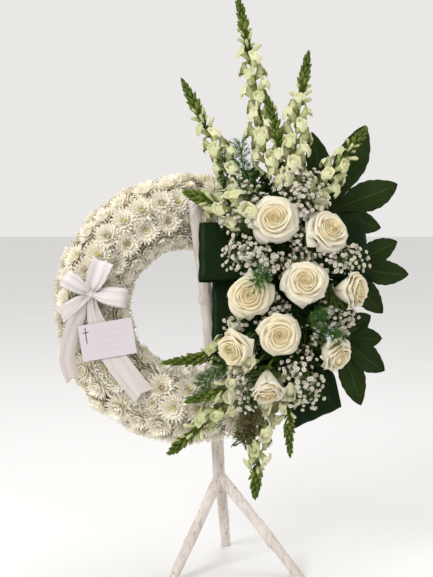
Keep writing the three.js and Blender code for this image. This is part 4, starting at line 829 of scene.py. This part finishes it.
# The snapdragons: ten spikes. Each stem carries ruffled cream-green flowers below, then long pale buds that stand
# out like fingers, and ends in a tight cone of small olive-green buds. A narrow leaf grows under each flower.
floret_skin = Finish(
    "snapdragon_flower", roughness=0.6, specular_ior_level=0.25, subsurface_weight=0.25,
    subsurface_radius=(0.004, 0.004, 0.002), subsurface_scale=0.8,
)
ripe = floret_skin.told("tone")
up_floret = floret_skin.along("Y")
mottle = floret_skin.grain(0.008, detail=3)
floret_base = floret_skin.mixed(ripe, (0.28, 0.335, 0.07), (0.67, 0.655, 0.43))
floret_foot = floret_skin.mixed(ripe, (0.16, 0.24, 0.035), (0.45, 0.48, 0.17))
floret_colour = floret_skin.mixed(up_floret.between(0.0, 0.7), floret_foot, floret_base)
floret_skin.feed(Base_Color=floret_skin.mixed(mottle.between(0.45, 0.7) * 0.4, floret_colour, (0.53, 0.56, 0.25)))
floret_skin.bump(mottle, 0.25, 0.0008)

bud_skin = Finish("snapdragon_bud", roughness=0.5, specular_ior_level=0.12)
age = bud_skin.told("tone")
bud_spots = bud_skin.grain(0.006, detail=3)
bud_green = bud_skin.mixed(age, (0.040, 0.070, 0.005), (0.32, 0.365, 0.07))
bud_skin.feed(Base_Color=bud_skin.mixed(bud_spots * bud_skin.along("Y") * 0.6, bud_green, (0.19, 0.25, 0.045)))
bud_skin.bump(bud_spots, 0.3, 0.0008)


def faced(place, aim, up, size):
    """The place of a flower that is made along +Z with its upper lip towards +X."""
    side = aim.cross(up).normalized()
    turned = Matrix((side.cross(aim), side, aim)).transposed().to_4x4()
    return Matrix.Translation(place) @ turned @ Matrix.Scale(size, 4)


def ruffled_floret(seed, tone):
    """An open flower along +Z: a plump tube, an upper lip of two lobes, a lower lip of three, and the closed mouth."""
    draw = Random(seed)
    bm = new_mesh()
    shift, droop = draw.random() * 6, 0.8 + 0.5 * draw.random()

    def skin(s, t):
        angle = pi * s
        if t < 0.5:
            out, high = 2.6 + 4.2 * (t / 0.5) ** 0.7 - 0.5 * cos(angle) * sin(2 * pi * t), 40 * t
        else:
            flare = (t - 0.5) / 0.5
            upper = max(0, min(1, (cos(angle) + 0.15) / 0.5))
            lobes = upper * (0.74 + 0.3 * abs(sin(2.3 * angle)))
            lobes += (1 - upper) * (0.74 + 0.3 * abs(cos(2.1 * (pi - abs(angle)))))
            lobes *= 1 - 0.35 * max(0, 1 - abs(abs(angle) - 1.66) / 0.35)
            reach = flare * lobes
            out = 6.8 + reach * (upper * 8 + (1 - upper) * 9)
            pout = 5.5 * sin(min(1, 2.4 * flare) * pi / 2) - 13 * droop * max(0, reach - 0.3) ** 1.5
            high = 20 + upper * (13 * reach - 7 * reach ** 3) + (1 - upper) * pout
            high += flare * (1.3 * sin(7 * angle + shift) + 1.0 * sin(12 * angle + 2 * shift))
        return Vector((out * cos(angle), 0.78 * out * sin(angle), high))

    flower = laid(bm, 24, 10, skin, tone)
    bmesh.ops.remove_doubles(bm, verts=flower, dist=0.02)
    laid(bm, 12, 4, lambda s, t: Vector((  # the palate that closes the mouth
        8.6 * cos(t * 1.5) * cos(pi * s) - 2.6, 6.8 * cos(t * 1.5) * sin(pi * s),
        20.0 + (6.6 + 2.0 * abs(sin(pi * s))) * sin(t * 1.5),
    )), tone)
    return kept("floret", bm)


def plump_bud(tone, slim):
    """A closed pointed bud along +Z, 12 mm long."""
    bm = new_mesh()
    bud = laid(bm, 7, 6, lambda s, t: Vector((
        slim * (sin(pi * t ** 0.75) ** 0.8 + 0.03) * cos(pi * s) * (1 + 0.14 * cos(3 * pi * s)),
        slim * (sin(pi * t ** 0.75) ** 0.8 + 0.03) * sin(pi * s) * (1 + 0.14 * cos(3 * pi * s)) + 0.9 * t * t,
        12 * t,
    )), tone, 1)
    bmesh.ops.remove_doubles(bm, verts=bud, dist=0.02)
    return kept("bud", bm)


def finger_bud(seed, tone):
    """A long bud along +Z that is about to open, with a rounded bent tip, in a cup of narrow green leaves."""
    draw = Random(seed)
    bm = new_mesh()
    bend, length = 2 + 3 * draw.random(), 21 + 4 * draw.random()

    def skin(s, t):
        round_tip = sqrt(max(0.002, 1 - (max(0, t - 0.7) / 0.3) ** 2))
        wide, deep = 3.9 * (0.36 + 0.64 * t) * round_tip, 3.5 * (0.36 + 0.64 * t) * round_tip
        return Vector((wide * cos(pi * s) * (1 + 0.1 * cos(2 * pi * s)) + bend * t * t, deep * sin(pi * s), length * t))

    bud = laid(bm, 9, 9, skin, tone)
    bmesh.ops.remove_doubles(bm, verts=bud, dist=0.02)
    for k in range(4):
        turn = pi * (k + 0.3) / 2

        def cup_leaf(s, t):
            out, aside = 1.2 + 3.2 * t ** 0.6, s * 2.3 * (1 - t) ** 0.7
            return Vector((out * cos(turn) - aside * sin(turn), out * sin(turn) + aside * cos(turn), 7.5 * t))

        laid(bm, 1, 3, cup_leaf, 0.0, 1)
    return kept("finger", bm)


open_florets = [ruffled_floret(seed, tone) for seed, tone in enumerate((1.0, 0.86, 0.96, 0.74, 0.6, 0.45), 1)]
fingers = [finger_bud(seed, tone) for seed, tone in enumerate((0.75, 0.6, 0.45, 0.3), 1)]
buds = [plump_bud(share, 2.6) for share in (0.0, 0.08, 0.18, 0.36)]
spike_leaf = small_leaf(26, 3.2, 0.8, 0.2, 0.0, 1)

# Each spike: its line from the foam to its tip, how far up its flowers and then its long buds go, and its girth.
SPIKES = [
    ([(188, 133, 84), (160, 235, 96), (135, 400, 100), (98, 604, 92)], 0.65, 0.80, 1.0),
    ([(164, 133, 70), (115, 205, 92), (62, 290, 100), (-12, 437, 92)], 0.55, 0.73, 1.0),
    ([(208, 133, 96), (200, 230, 112), (210, 340, 118), (234, 488, 108)], 0.60, 0.73, 1.0),
    ([(228, 133, 90), (252, 205, 118), (292, 268, 124), (343, 334, 118)], 0.58, 0.74, 0.95),
    ([(163, 122, 112), (125, 158, 142), (66, 180, 140), (-3, 211, 110)], 0.52, 0.68, 1.12),
    ([(153, -42, 84), (95, -72, 88), (30, -104, 94), (-46, -116, 98)], 0.30, 0.48, 1.0),
    ([(163, -74, 112), (130, -118, 128), (62, -168, 116), (-2, -189, 104)], 0.42, 0.62, 0.95),
    ([(164, -83, 76), (112, -150, 88), (40, -222, 96), (-34, -286, 90)], 0.62, 0.78, 1.0),
    ([(186, -83, 66), (158, -160, 84), (136, -262, 94), (127, -368, 90)], 0.66, 0.76, 1.0),
    ([(205, -83, 96), (193, -140, 112), (190, -212, 118), (193, -290, 112)], 0.42, 0.56, 0.85),
]
GOLDEN = radians(137.5)
FIRST_FLOWER = 0.24  # how far up its stem a spike's lowest flower is


def in_a_rose(point, margin):
    return any((point - at(*rose_line[0])).length < rose_line[2] + margin for rose_line in ROSES)


def spike(bm, line, opened, fingered, girth, draw):
    line = [at(*point) for point in line]
    path = curve_through(line, 120)
    stalk(bm, [line[0] + (line[0] - line[1]).normalized() * 10, *(path[j][0] for j in range(0, 118, 9))], 2.9, 8, 2)
    total = length_of(path)
    share, turn = FIRST_FLOWER, draw.random() * 6
    while share < 0.995:
        place, along = path[min(119, round(share * 119))]
        side = beside(along, turn)
        height = (share - FIRST_FLOWER) / (1 - FIRST_FLOWER)
        if height < opened:
            young = height / opened
            aim = (side + along * (0.6 + 0.4 * young + 0.4 * draw.random())).normalized()
            step = 9.8
            size = girth * (1.4 - 0.3 * young) * (0.85 + 0.25 * draw.random())
            kind = min(5, int(draw.random() * 3 + 2.6 * young * young))
            if not in_a_rose(place + aim * 24, 1):
                copied(bm, open_florets[kind], faced(place + side * 1.5, aim, along, size))
        elif height < fingered:
            young = (height - opened) / (fingered - opened)
            aim = (side + along * (0.75 + 0.5 * young + 0.3 * draw.random())).normalized()
            step = 6.0 - 1.6 * young
            if not in_a_rose(place + aim * 18, 1):
                size = girth * (1.3 - 0.4 * young) * (0.85 + 0.25 * draw.random())
                copied(bm, fingers[min(3, int(4 * young))], faced(place + side * 2, aim, -along, size))
                close = (Quaternion(along, 2.2) @ side * 0.5 + along).normalized()
                spin, size = draw.random() * 6, girth * (1.1 + 0.2 * draw.random())
                copied(bm, buds[0], aimed(place + close * 2, close, spin, size))
        else:
            young = (height - fingered) / (1 - fingered)
            aim = (side * (0.66 * (1 - young ** 2) + 0.08) + along).normalized()
            kind = 3 if young < 0.08 else 2 if young < 0.2 else 1 if young < 0.45 else 0
            size = girth * (1.55 - 0.5 * young - 0.4 * max(0, young - 0.8) / 0.2) * (0.88 + 0.24 * draw.random())
            step = 2.2 - 0.6 * young
            foot = place + side * (3.2 * (1 - young ** 2)) * girth
            copied(bm, buds[kind], aimed(foot, aim, draw.random() * 6, size))
        for more in (0, 1, 2) if opened <= height < fingered else (0,) if height < fingered else ():
            lean = (Quaternion(along, 0.5 + 2.1 * more) @ side + along * 1.1).normalized()
            copied(bm, spike_leaf, aimed(place, lean, draw.random() * 6, 0.5 + 0.35 * draw.random()))
        turn += GOLDEN
        share += step / total


for k, (line, opened, fingered, girth) in enumerate(SPIKES):
    draw = Random(70 + k)
    bm = new_mesh()
    spike(bm, line, opened, fingered, girth, draw)
    if k == 2:  # a shorter stem that grows beside the middle spike
        spike(bm, [(196, 133, 104), (188, 220, 116), (170, 330, 122), (149, 408, 116)], 0.34, 0.52, 0.95, draw)
    finishes = [floret_skin, bud_skin, green_stem]
    shown(f"snapdragon_spike_{k + 1}", bm, RING, finishes, "snapdragon", f"snapdragon_{k + 1}")


# Baby's breath: clouds of tiny double white flowers on branching thread-thin stems, which fill the gaps
# between the roses.
breath_white = Finish("babys_breath_flower", roughness=0.75, specular_ior_level=0.2)
fluff = breath_white.grain(0.003)
white_part = breath_white.mixed(fluff, (0.68, 0.63, 0.53), (0.81, 0.775, 0.69))
breath_white.feed(Base_Color=breath_white.mixed(1 - breath_white.told("tone"), white_part, (0.50, 0.58, 0.30)))
breath_white.bump(fluff, 0.3, 0.0006)


def breath_floret(seed, openness):
    draw = Random(seed)
    bm = new_mesh()
    for count, rise, length in ((7, 4, 5.0), (6, 34, 4.6), (4, 66, 3.6)):
        for k in range(count):
            turn = 2 * pi * (k + 0.3 * draw.random()) / count + rise
            pitch = radians(rise + 12 * (draw.random() - 0.5)) * openness
            laid(bm, 1, 2, lambda s, t: Vector((
                (0.4 + length * t * cos(pitch)) * cos(turn) - s * (0.5 + 1.5 * sin(2.6 * t)) * sin(turn),
                (0.4 + length * t * cos(pitch)) * sin(turn) + s * (0.5 + 1.5 * sin(2.6 * t)) * cos(turn),
                1.2 + length * t * sin(pitch) + 0.7 * s * s,
            )), 1.0)
    place = Matrix.Translation((0, 0, 0.3))
    cup = bmesh.ops.create_cone(bm, segments=5, radius1=0.5, radius2=2.0, depth=2.6, matrix=place)["verts"]
    for face in {face for point in cup for face in point.link_faces}:
        face.material_index = 1
    return kept("breath_floret", bm)


breath_florets = [breath_floret(seed, openness) for seed, openness in ((1, 1.0), (2, 1.0), (3, 1.5))]
# Each cloud: where its stem enters the block, where it forks, and the balls that its flowers fill, each with
# its middle, its reach right, forward and up, and its number of flowers.
CLOUDS = [
    ((163, 98, 112), (128, 112, 136), [((100, 172, 146), (46, 38, 66), 124), ((112, 84, 146), (42, 28, 40), 60)]),
    ((166, 62, 112), (146, 66, 132), [
        ((118, 76, 152), (58, 32, 36), 80), ((168, 64, 150), (44, 28, 30), 60), ((158, -20, 146), (36, 24, 40), 50),
        ((216, 78, 146), (40, 26, 16), 26), ((92, -42, 138), (26, 20, 20), 20),
    ]),
    ((202, 122, 112), (212, 172, 136), [
        ((212, 206, 150), (60, 32, 50), 110), ((236, 170, 148), (42, 28, 36), 50), ((220, 114, 142), (26, 26, 46), 36),
    ]),
    ((230, 66, 112), (262, 72, 132), [((298, 74, 146), (48, 34, 38), 80), ((278, -34, 140), (46, 26, 48), 76)]),
    ((212, -72, 112), (214, -124, 134), [
        ((214, -150, 146), (48, 32, 60), 110), ((106, -160, 138), (34, 26, 56), 70),
        ((236, -78, 142), (30, 26, 36), 36),
    ]),
]
for k, (entry, fork_at, balls) in enumerate(CLOUDS):
    draw = Random(200 + k)
    bm = new_mesh()
    entry, fork_at = at(*entry), at(*fork_at)
    root = entry + (entry - fork_at).normalized() * 10
    stalk(bm, [root, entry.lerp(fork_at, 0.5), fork_at], 1.4, 6, 1)
    for middle, reach, count in balls:
        middle = at(*middle)
        hub = fork_at.lerp(middle, 0.35)
        stalk(bm, [fork_at, fork_at.lerp(hub, 0.5) + Vector((1, 1, 0)), hub], 0.9, 4, 1)
        made, tries = [], 0
        while len(made) < count and tries < 1500:
            tries += 1
            ray = Vector((draw.gauss(0, 1), draw.gauss(0, 1), draw.gauss(0, 1))).normalized() * draw.random() ** 0.4
            head = middle + Vector((ray.x * reach[0], ray.y * reach[1], ray.z * reach[2]))
            if in_a_rose(head, 3) or any((head - other).length < 7 for other in made):
                continue
            made.append(head)
            aim = ((head - hub).normalized() + Vector((0, -0.5, 0.2))).normalized()
            copied(bm, draw.choice(breath_florets), aimed(head, aim, draw.random() * 6, 0.58 + 0.34 * draw.random()))
            bend = hub.lerp(head, 0.5) + jolt(draw) * 8
            stalk(bm, [hub, bend, head], 0.45, 3, 1)
    shown(f"babys_breath_{k + 1}", bm, RING, [breath_white, green_stem], "gypsophila", f"gypsophila_{k + 1}")


# Asparagus fern: feathery tufts of needles round slim stems, in three places among the flowers.
needle_green = Finish("fern_needle", roughness=0.6, specular_ior_level=0.15)
tint = needle_green.grain(0.012)
needle_tip = needle_green.along("Y")
fern_green = needle_green.mixed(tint, (0.018, 0.070, 0.008), (0.055, 0.135, 0.024))
needle_green.feed(Base_Color=needle_green.mixed(needle_tip * 0.4, fern_green, (0.12, 0.24, 0.06)))


def needle_tuft(seed):
    """A small spray of needles about a short twig along +Z."""
    draw = Random(seed)
    bm = new_mesh()
    for k in range(13):
        turn, rise = k * GOLDEN, radians(18 + 52 * draw.random())
        foot, length = 9 * k / 13, 7 + 5 * draw.random()
        ray = Vector((cos(turn) * cos(rise), sin(turn) * cos(rise), sin(rise)))
        aside = ray.cross(Vector((0, 0, 1))).normalized()
        laid(bm, 1, 2, lambda s, t: (
            Vector((0, 0, foot)) + ray * (length * t) + aside * (s * 0.55 * (1 - t * t)) + Vector((0, 0, 1.5 * t * t))
        ))
    return kept("tuft", bm)


tufts = [needle_tuft(seed) for seed in (1, 2, 3)]
FERNS = {
    "upper": [
        [(176, 133, 102), (140, 176, 112), (112, 236, 120), (98, 310, 112)],
        [(170, 133, 98), (124, 170, 100), (78, 236, 104), (70, 290, 100)],
    ],
    "middle": [
        [(226, -12, 112), (240, -24, 136), (246, -34, 160), (240, -40, 184)],
        [(228, -30, 112), (252, -52, 140), (270, -66, 164), (282, -72, 182)],
        [(150, 54, 112), (146, 52, 150), (138, 40, 186), (126, 22, 206)],
    ],
    "foot": [
        [(168, -83, 94), (134, -136, 96), (118, -190, 104), (104, -262, 100)],
        [(156, -66, 112), (110, -96, 122), (60, -128, 122), (24, -160, 112)],
    ],
}
for name, lines in FERNS.items():
    draw = Random(len(name) + 300)
    bm = new_mesh()
    for line in lines:
        line = [at(*point) for point in line]
        path = curve_through(line, 90)
        root = line[0] + (line[0] - line[1]).normalized() * 10
        stalk(bm, [root, *(path[j][0] for j in range(0, 89, 8))], 1.4, 5)
        count = round(length_of(path) * 0.40)
        for k in range(count):
            share = 0.36 + 0.63 * k / count
            place, along = path[round(share * 89)]
            side = Quaternion(along, k * GOLDEN) @ Vector((0.2, 0.4, 1)).cross(along).normalized()
            aim = (side + along * 0.7).normalized()
            reach = 26 * (1 - 0.6 * abs(share - 0.6)) * draw.random() ** 0.7
            if name == "middle" or not in_a_rose(place + aim * (reach + 8), -2):
                stalk(bm, [place, place + aim * (reach * 0.5 + 2)], 0.4, 3)
                tuft, foot = draw.choice(tufts), place + aim * reach * 0.5
                copied(bm, tuft, aimed(foot, aim, draw.random() * 6, 0.8 + 0.5 * draw.random()))
    shown(f"asparagus_fern_{name}", bm, RING, [needle_green], "fern", f"fern_{name}")


# The bow: white satin ribbon 36 mm wide, folded into three loops and gathered in a small knot on a wooden pick.
# A short tail sticks out to the left, and two long tails hang over the ring's front and down its outer side.
satin = Finish("white_satin", roughness=0.34, specular_ior_level=0.5, sheen_weight=0.25, sheen_roughness=0.4)
thread = (satin.along("X") * 620.0).sine()
cross_thread = (satin.along("Y") * 900.0).sine()
pull_streaks_and_painted_sheen = satin.grain(1, (4.5, 0.9, 1), of="UV")
selvedge = (abs(satin.along("X") - 0.5)).between(0.455, 0.475)
# Painted sheen: the satin's colour is darker along the pull streaks, standing for the light and dark bands of its
# sheen; the same streaks also roughen and raise the cloth.
satin_colour_with_painted_shade = satin.mixed(pull_streaks_and_painted_sheen.between(0.35, 0.7), (0.70, 0.65, 0.635), (0.50, 0.46, 0.445))
# Painted shade: where the tone is set, on the tails, the satin is mixed towards a darker warm grey, as if the tails lay
# in shade.
satin_colour_with_painted_shade = satin.mixed(satin.told("tone"), satin_colour_with_painted_shade, (0.50, 0.435, 0.385))
satin.feed(Base_Color=satin.mixed(selvedge * 0.3, satin_colour_with_painted_shade, (0.60, 0.56, 0.58)), Roughness=0.28 + pull_streaks_and_painted_sheen * 0.18)
satin.bump(thread * 0.04 + cross_thread * 0.03 + pull_streaks_and_painted_sheen * 0.8 + selvedge * 0.3, 0.3, 0.0012)


def ribbon(name, points, across, widths, folds, seed, steps=54, cut=0.0):
    """One run of ribbon through points: its width lies along a direction, and folds deepen where it is gathered."""
    bm = new_mesh()
    path = curve_through([at(*point) for point in points], steps + 1)
    across = at(*across)
    full = max(widths)
    drift = Random(seed).random() * 6

    def cloth(s, t):
        k = round(t * steps)
        middle, along = path[k]
        half = (across - along * across.dot(along)).normalized()
        normal = along.cross(half).normalized()
        here = t * (len(widths) - 1)
        low = min(int(here), len(widths) - 2)
        width = widths[low] + (widths[low + 1] - widths[low]) * (here - low)
        tight = 1 - width / full
        wave = folds * (0.35 + 2.2 * tight) * sin(3.2 * s * (1 + tight) + drift) * cos(1.7 * s + 2 * t)
        wave += 0.5 * folds * sin(5 * t + 2 * s + drift)
        notch = cut * (abs(s) - 1) * max(0, (t - 0.8) / 0.2)
        return middle + half * (s * width / 2) + normal * wave + along * notch

    # The tails get tone 0.4, which paints shade on their satin.
    laid(bm, 22, steps, cloth, 0.4 if "tail" in name else 0.0)
    bmesh.ops.solidify(bm, geom=bm.faces[:], thickness=0.25)
    bmesh.ops.transform(bm, matrix=RING, verts=bm.verts)
    real_area = sum(face.calc_area() for face in bm.faces) / 2
    piece = shown(name, bm, Matrix.Identity(4), [satin], "satin")
    wide, length = max(0.036, full / 1000), length_of(path) / 1000
    area = max(0.31 * wide * length, min(real_area, wide * length))


KNOT = Vector((-188, 18, 84))


def bow_loop(degrees, reach, width, back, front):
    """The points of a loop that leaves the knot, folds at its reach and comes back in front."""
    out = (cos(radians(degrees)), sin(radians(degrees)))
    middle, bend = (front + back) / 2, (front - back) / 2
    section = [
        (3, 83.5), (0.25 * reach, back + 1), (0.6 * reach, back - 1), (0.9 * reach, back + 1), (reach + 2, middle),
        (0.9 * reach, front), (0.6 * reach, front + 1), (0.25 * reach, front - 3), (3, 86),
    ]
    return [(KNOT.x + out[0] * far, KNOT.y + out[1] * far, forward) for far, forward in section], (-out[1], out[0], 0)


for name, degrees, reach, width, back, front in (
    ("upper_left", 148, 60, 34, 78, 93), ("upper", 68, 66, 41, 80, 102), ("right", -8, 70, 38, 77, 95),
):
    points, across = bow_loop(degrees, reach, width, back, front)
    widths = [share * width for share in (0.26, 0.72, 0.95, 1, 1, 1, 0.95, 0.72, 0.26)]
    ribbon(f"bow_loop_{name}", points, across, widths, 2.8, degrees, 60)
ribbon(
    "bow_tail_short", [(-190, 14, 84), (-210, 3, 80), (-232, -12, 77), (-251, -26, 73.5)],
    (-0.6, 0.8, 0), [10, 24, 31, 33], 1.6, 3, 30, 6,
)
ribbon(
    "bow_tail_front", [(-187, 14, 80), (-180, -30, 70), (-160, -80, 70.5), (-128, -125, 71.5), (-84, -180, 70)],
    (0.86, 0.5, 0), [12, 36, 42, 46, 44], 1.3, 4, 80, 8,
)
ribbon(
    "bow_tail_side", [(-190, 14, 80), (-212, -24, 72), (-226, -62, 71), (-233, -108, 68), (-222, -150, 60)],
    (0.9, 0.1, -0.35), [12, 30, 34, 32, 28], 1.4, 5, 70, 7,
)
knot = new_mesh()
band_of_knot = laid(knot, 26, 12, lambda s, t: at(
    KNOT.x + (8.2 - 1.6 * sin(pi * t) + 0.5 * sin(9 * pi * s + 2 * t)) * cos(pi * s) * (0.55 + 0.45 * sin(pi * t)),
    KNOT.y + 16 * (t - 0.5) + 2.2 * sin(pi * s),
    KNOT.z + 1 + (7.4 - 1.0 * sin(pi * t) + 0.5 * sin(7 * pi * s)) * sin(pi * s) * (0.55 + 0.45 * sin(pi * t)),
))
bmesh.ops.remove_doubles(knot, verts=band_of_knot, dist=0.05)
capped(knot)
stalk(knot, [at(-188, 18, 82), at(-188, 18, 46), at(-188, 18, 12)], 1.6, 8)
shown("satin_knot", knot, RING, [satin], "satin", "satin_bow")


# The card: plain white board that lies on the front tail. It bears a small plain black cross and ruled lines,
# and nothing is written on it.
board = Finish("white_card", roughness=0.6, specular_ior_level=0.3)
across_card, up_card = board.along("X"), board.along("Y")


def bar(left, right, low, high):
    """1 inside a rectangle of the card, given in shares of its width and height."""
    blur = 0.003, 0.004
    wide = 1 - abs(across_card - (left + right) / 2).between((right - left) / 2 - blur[0], (right - left) / 2 + blur[0])
    tall = 1 - abs(up_card - (low + high) / 2).between((high - low) / 2 - blur[1], (high - low) / 2 + blur[1])
    return wide * tall


ink = bar(0.118, 0.136, 0.48, 0.92) + bar(0.075, 0.180, 0.765, 0.792)
rules = bar(0.28, 0.90, 0.748, 0.756)
for low in (0.578, 0.408, 0.238):
    rules = rules + bar(0.28, 0.90, low, low + 0.008)
paper = board.grain(0.004, detail=3)
card_white = board.mixed(paper, (0.54, 0.495, 0.52), (0.60, 0.55, 0.575))
card_white = board.mixed(rules.between(0.1, 0.9) * 0.55, card_white, (0.30, 0.30, 0.38))
board.feed(Base_Color=board.mixed(ink.between(0.1, 0.9) * 0.95, card_white, (0.02, 0.02, 0.025)))
board.bump(paper, 0.15, 0.0004)
card = new_mesh()
HALF_WIDE, HALF_HIGH = 52.5, 35
tilt = radians(9.5)
laid(card, 12, 8, lambda s, t: at(
    -156 + HALF_WIDE * s * cos(tilt) - HALF_HIGH * (2 * t - 1) * sin(tilt),
    -70 + HALF_WIDE * s * sin(tilt) + HALF_HIGH * (2 * t - 1) * cos(tilt),
    73.8 + 1.2 * s * s,
))
card_piece = shown("condolence_card", card, RING, [board], "card", "card")
for face in card_piece.data.polygons:
    face.use_smooth = False
stiff = card_piece.modifiers.new("thickness", "SOLIDIFY")
stiff.thickness, stiff.offset = 0.0007, 0


# The studio: a pale floor, large soft lights and an even pale surround.
ground = Finish("studio_floor", roughness=0.8, specular_ior_level=0.2)
dust = ground.grain(0.3, detail=3)
ground.feed(Base_Color=ground.mixed(dust, (0.80, 0.80, 0.80), (0.83, 0.83, 0.825)))
floor = bmesh.new()
bmesh.ops.create_grid(floor, x_segments=8, y_segments=8, size=9)
floor = linked("studio_floor", kept("studio_floor", floor))
floor.data.materials.append(ground.material)
bpy.context.scene.view_settings.view_transform = "Standard"

world = bpy.data.worlds.new("studio")
bpy.context.scene.world = world
world.use_nodes = True
surround = world.node_tree.nodes["Background"].inputs
surround["Color"].default_value, surround["Strength"].default_value = (1.0, 0.985, 0.965, 1), 0.82

for name, place, size, power in (
    ("key", (-2.0, -2.0, 2.3), 1.3, 52), ("fill", (1.9, -2.0, 1.3), 1.8, 9), ("top", (0.2, 0.5, 2.9), 1.4, 22),
):
    lamp = bpy.data.lights.new(name, "AREA")
    lamp.size, lamp.energy = size, power
    light = linked(name, lamp)
    light.location = place
    light.rotation_euler = (Vector((0, 0, 0.6)) - Vector(place)).to_track_quat("-Z", "Y").to_euler()

lens = bpy.data.cameras.new("camera")
lens.sensor_width, lens.lens = 36, 68.63
camera = linked("camera", lens)
camera.location = (-0.0299, -2.1360, 0.8391)
camera.rotation_euler = (radians(83), 0, 0)
bpy.context.scene.camera = camera
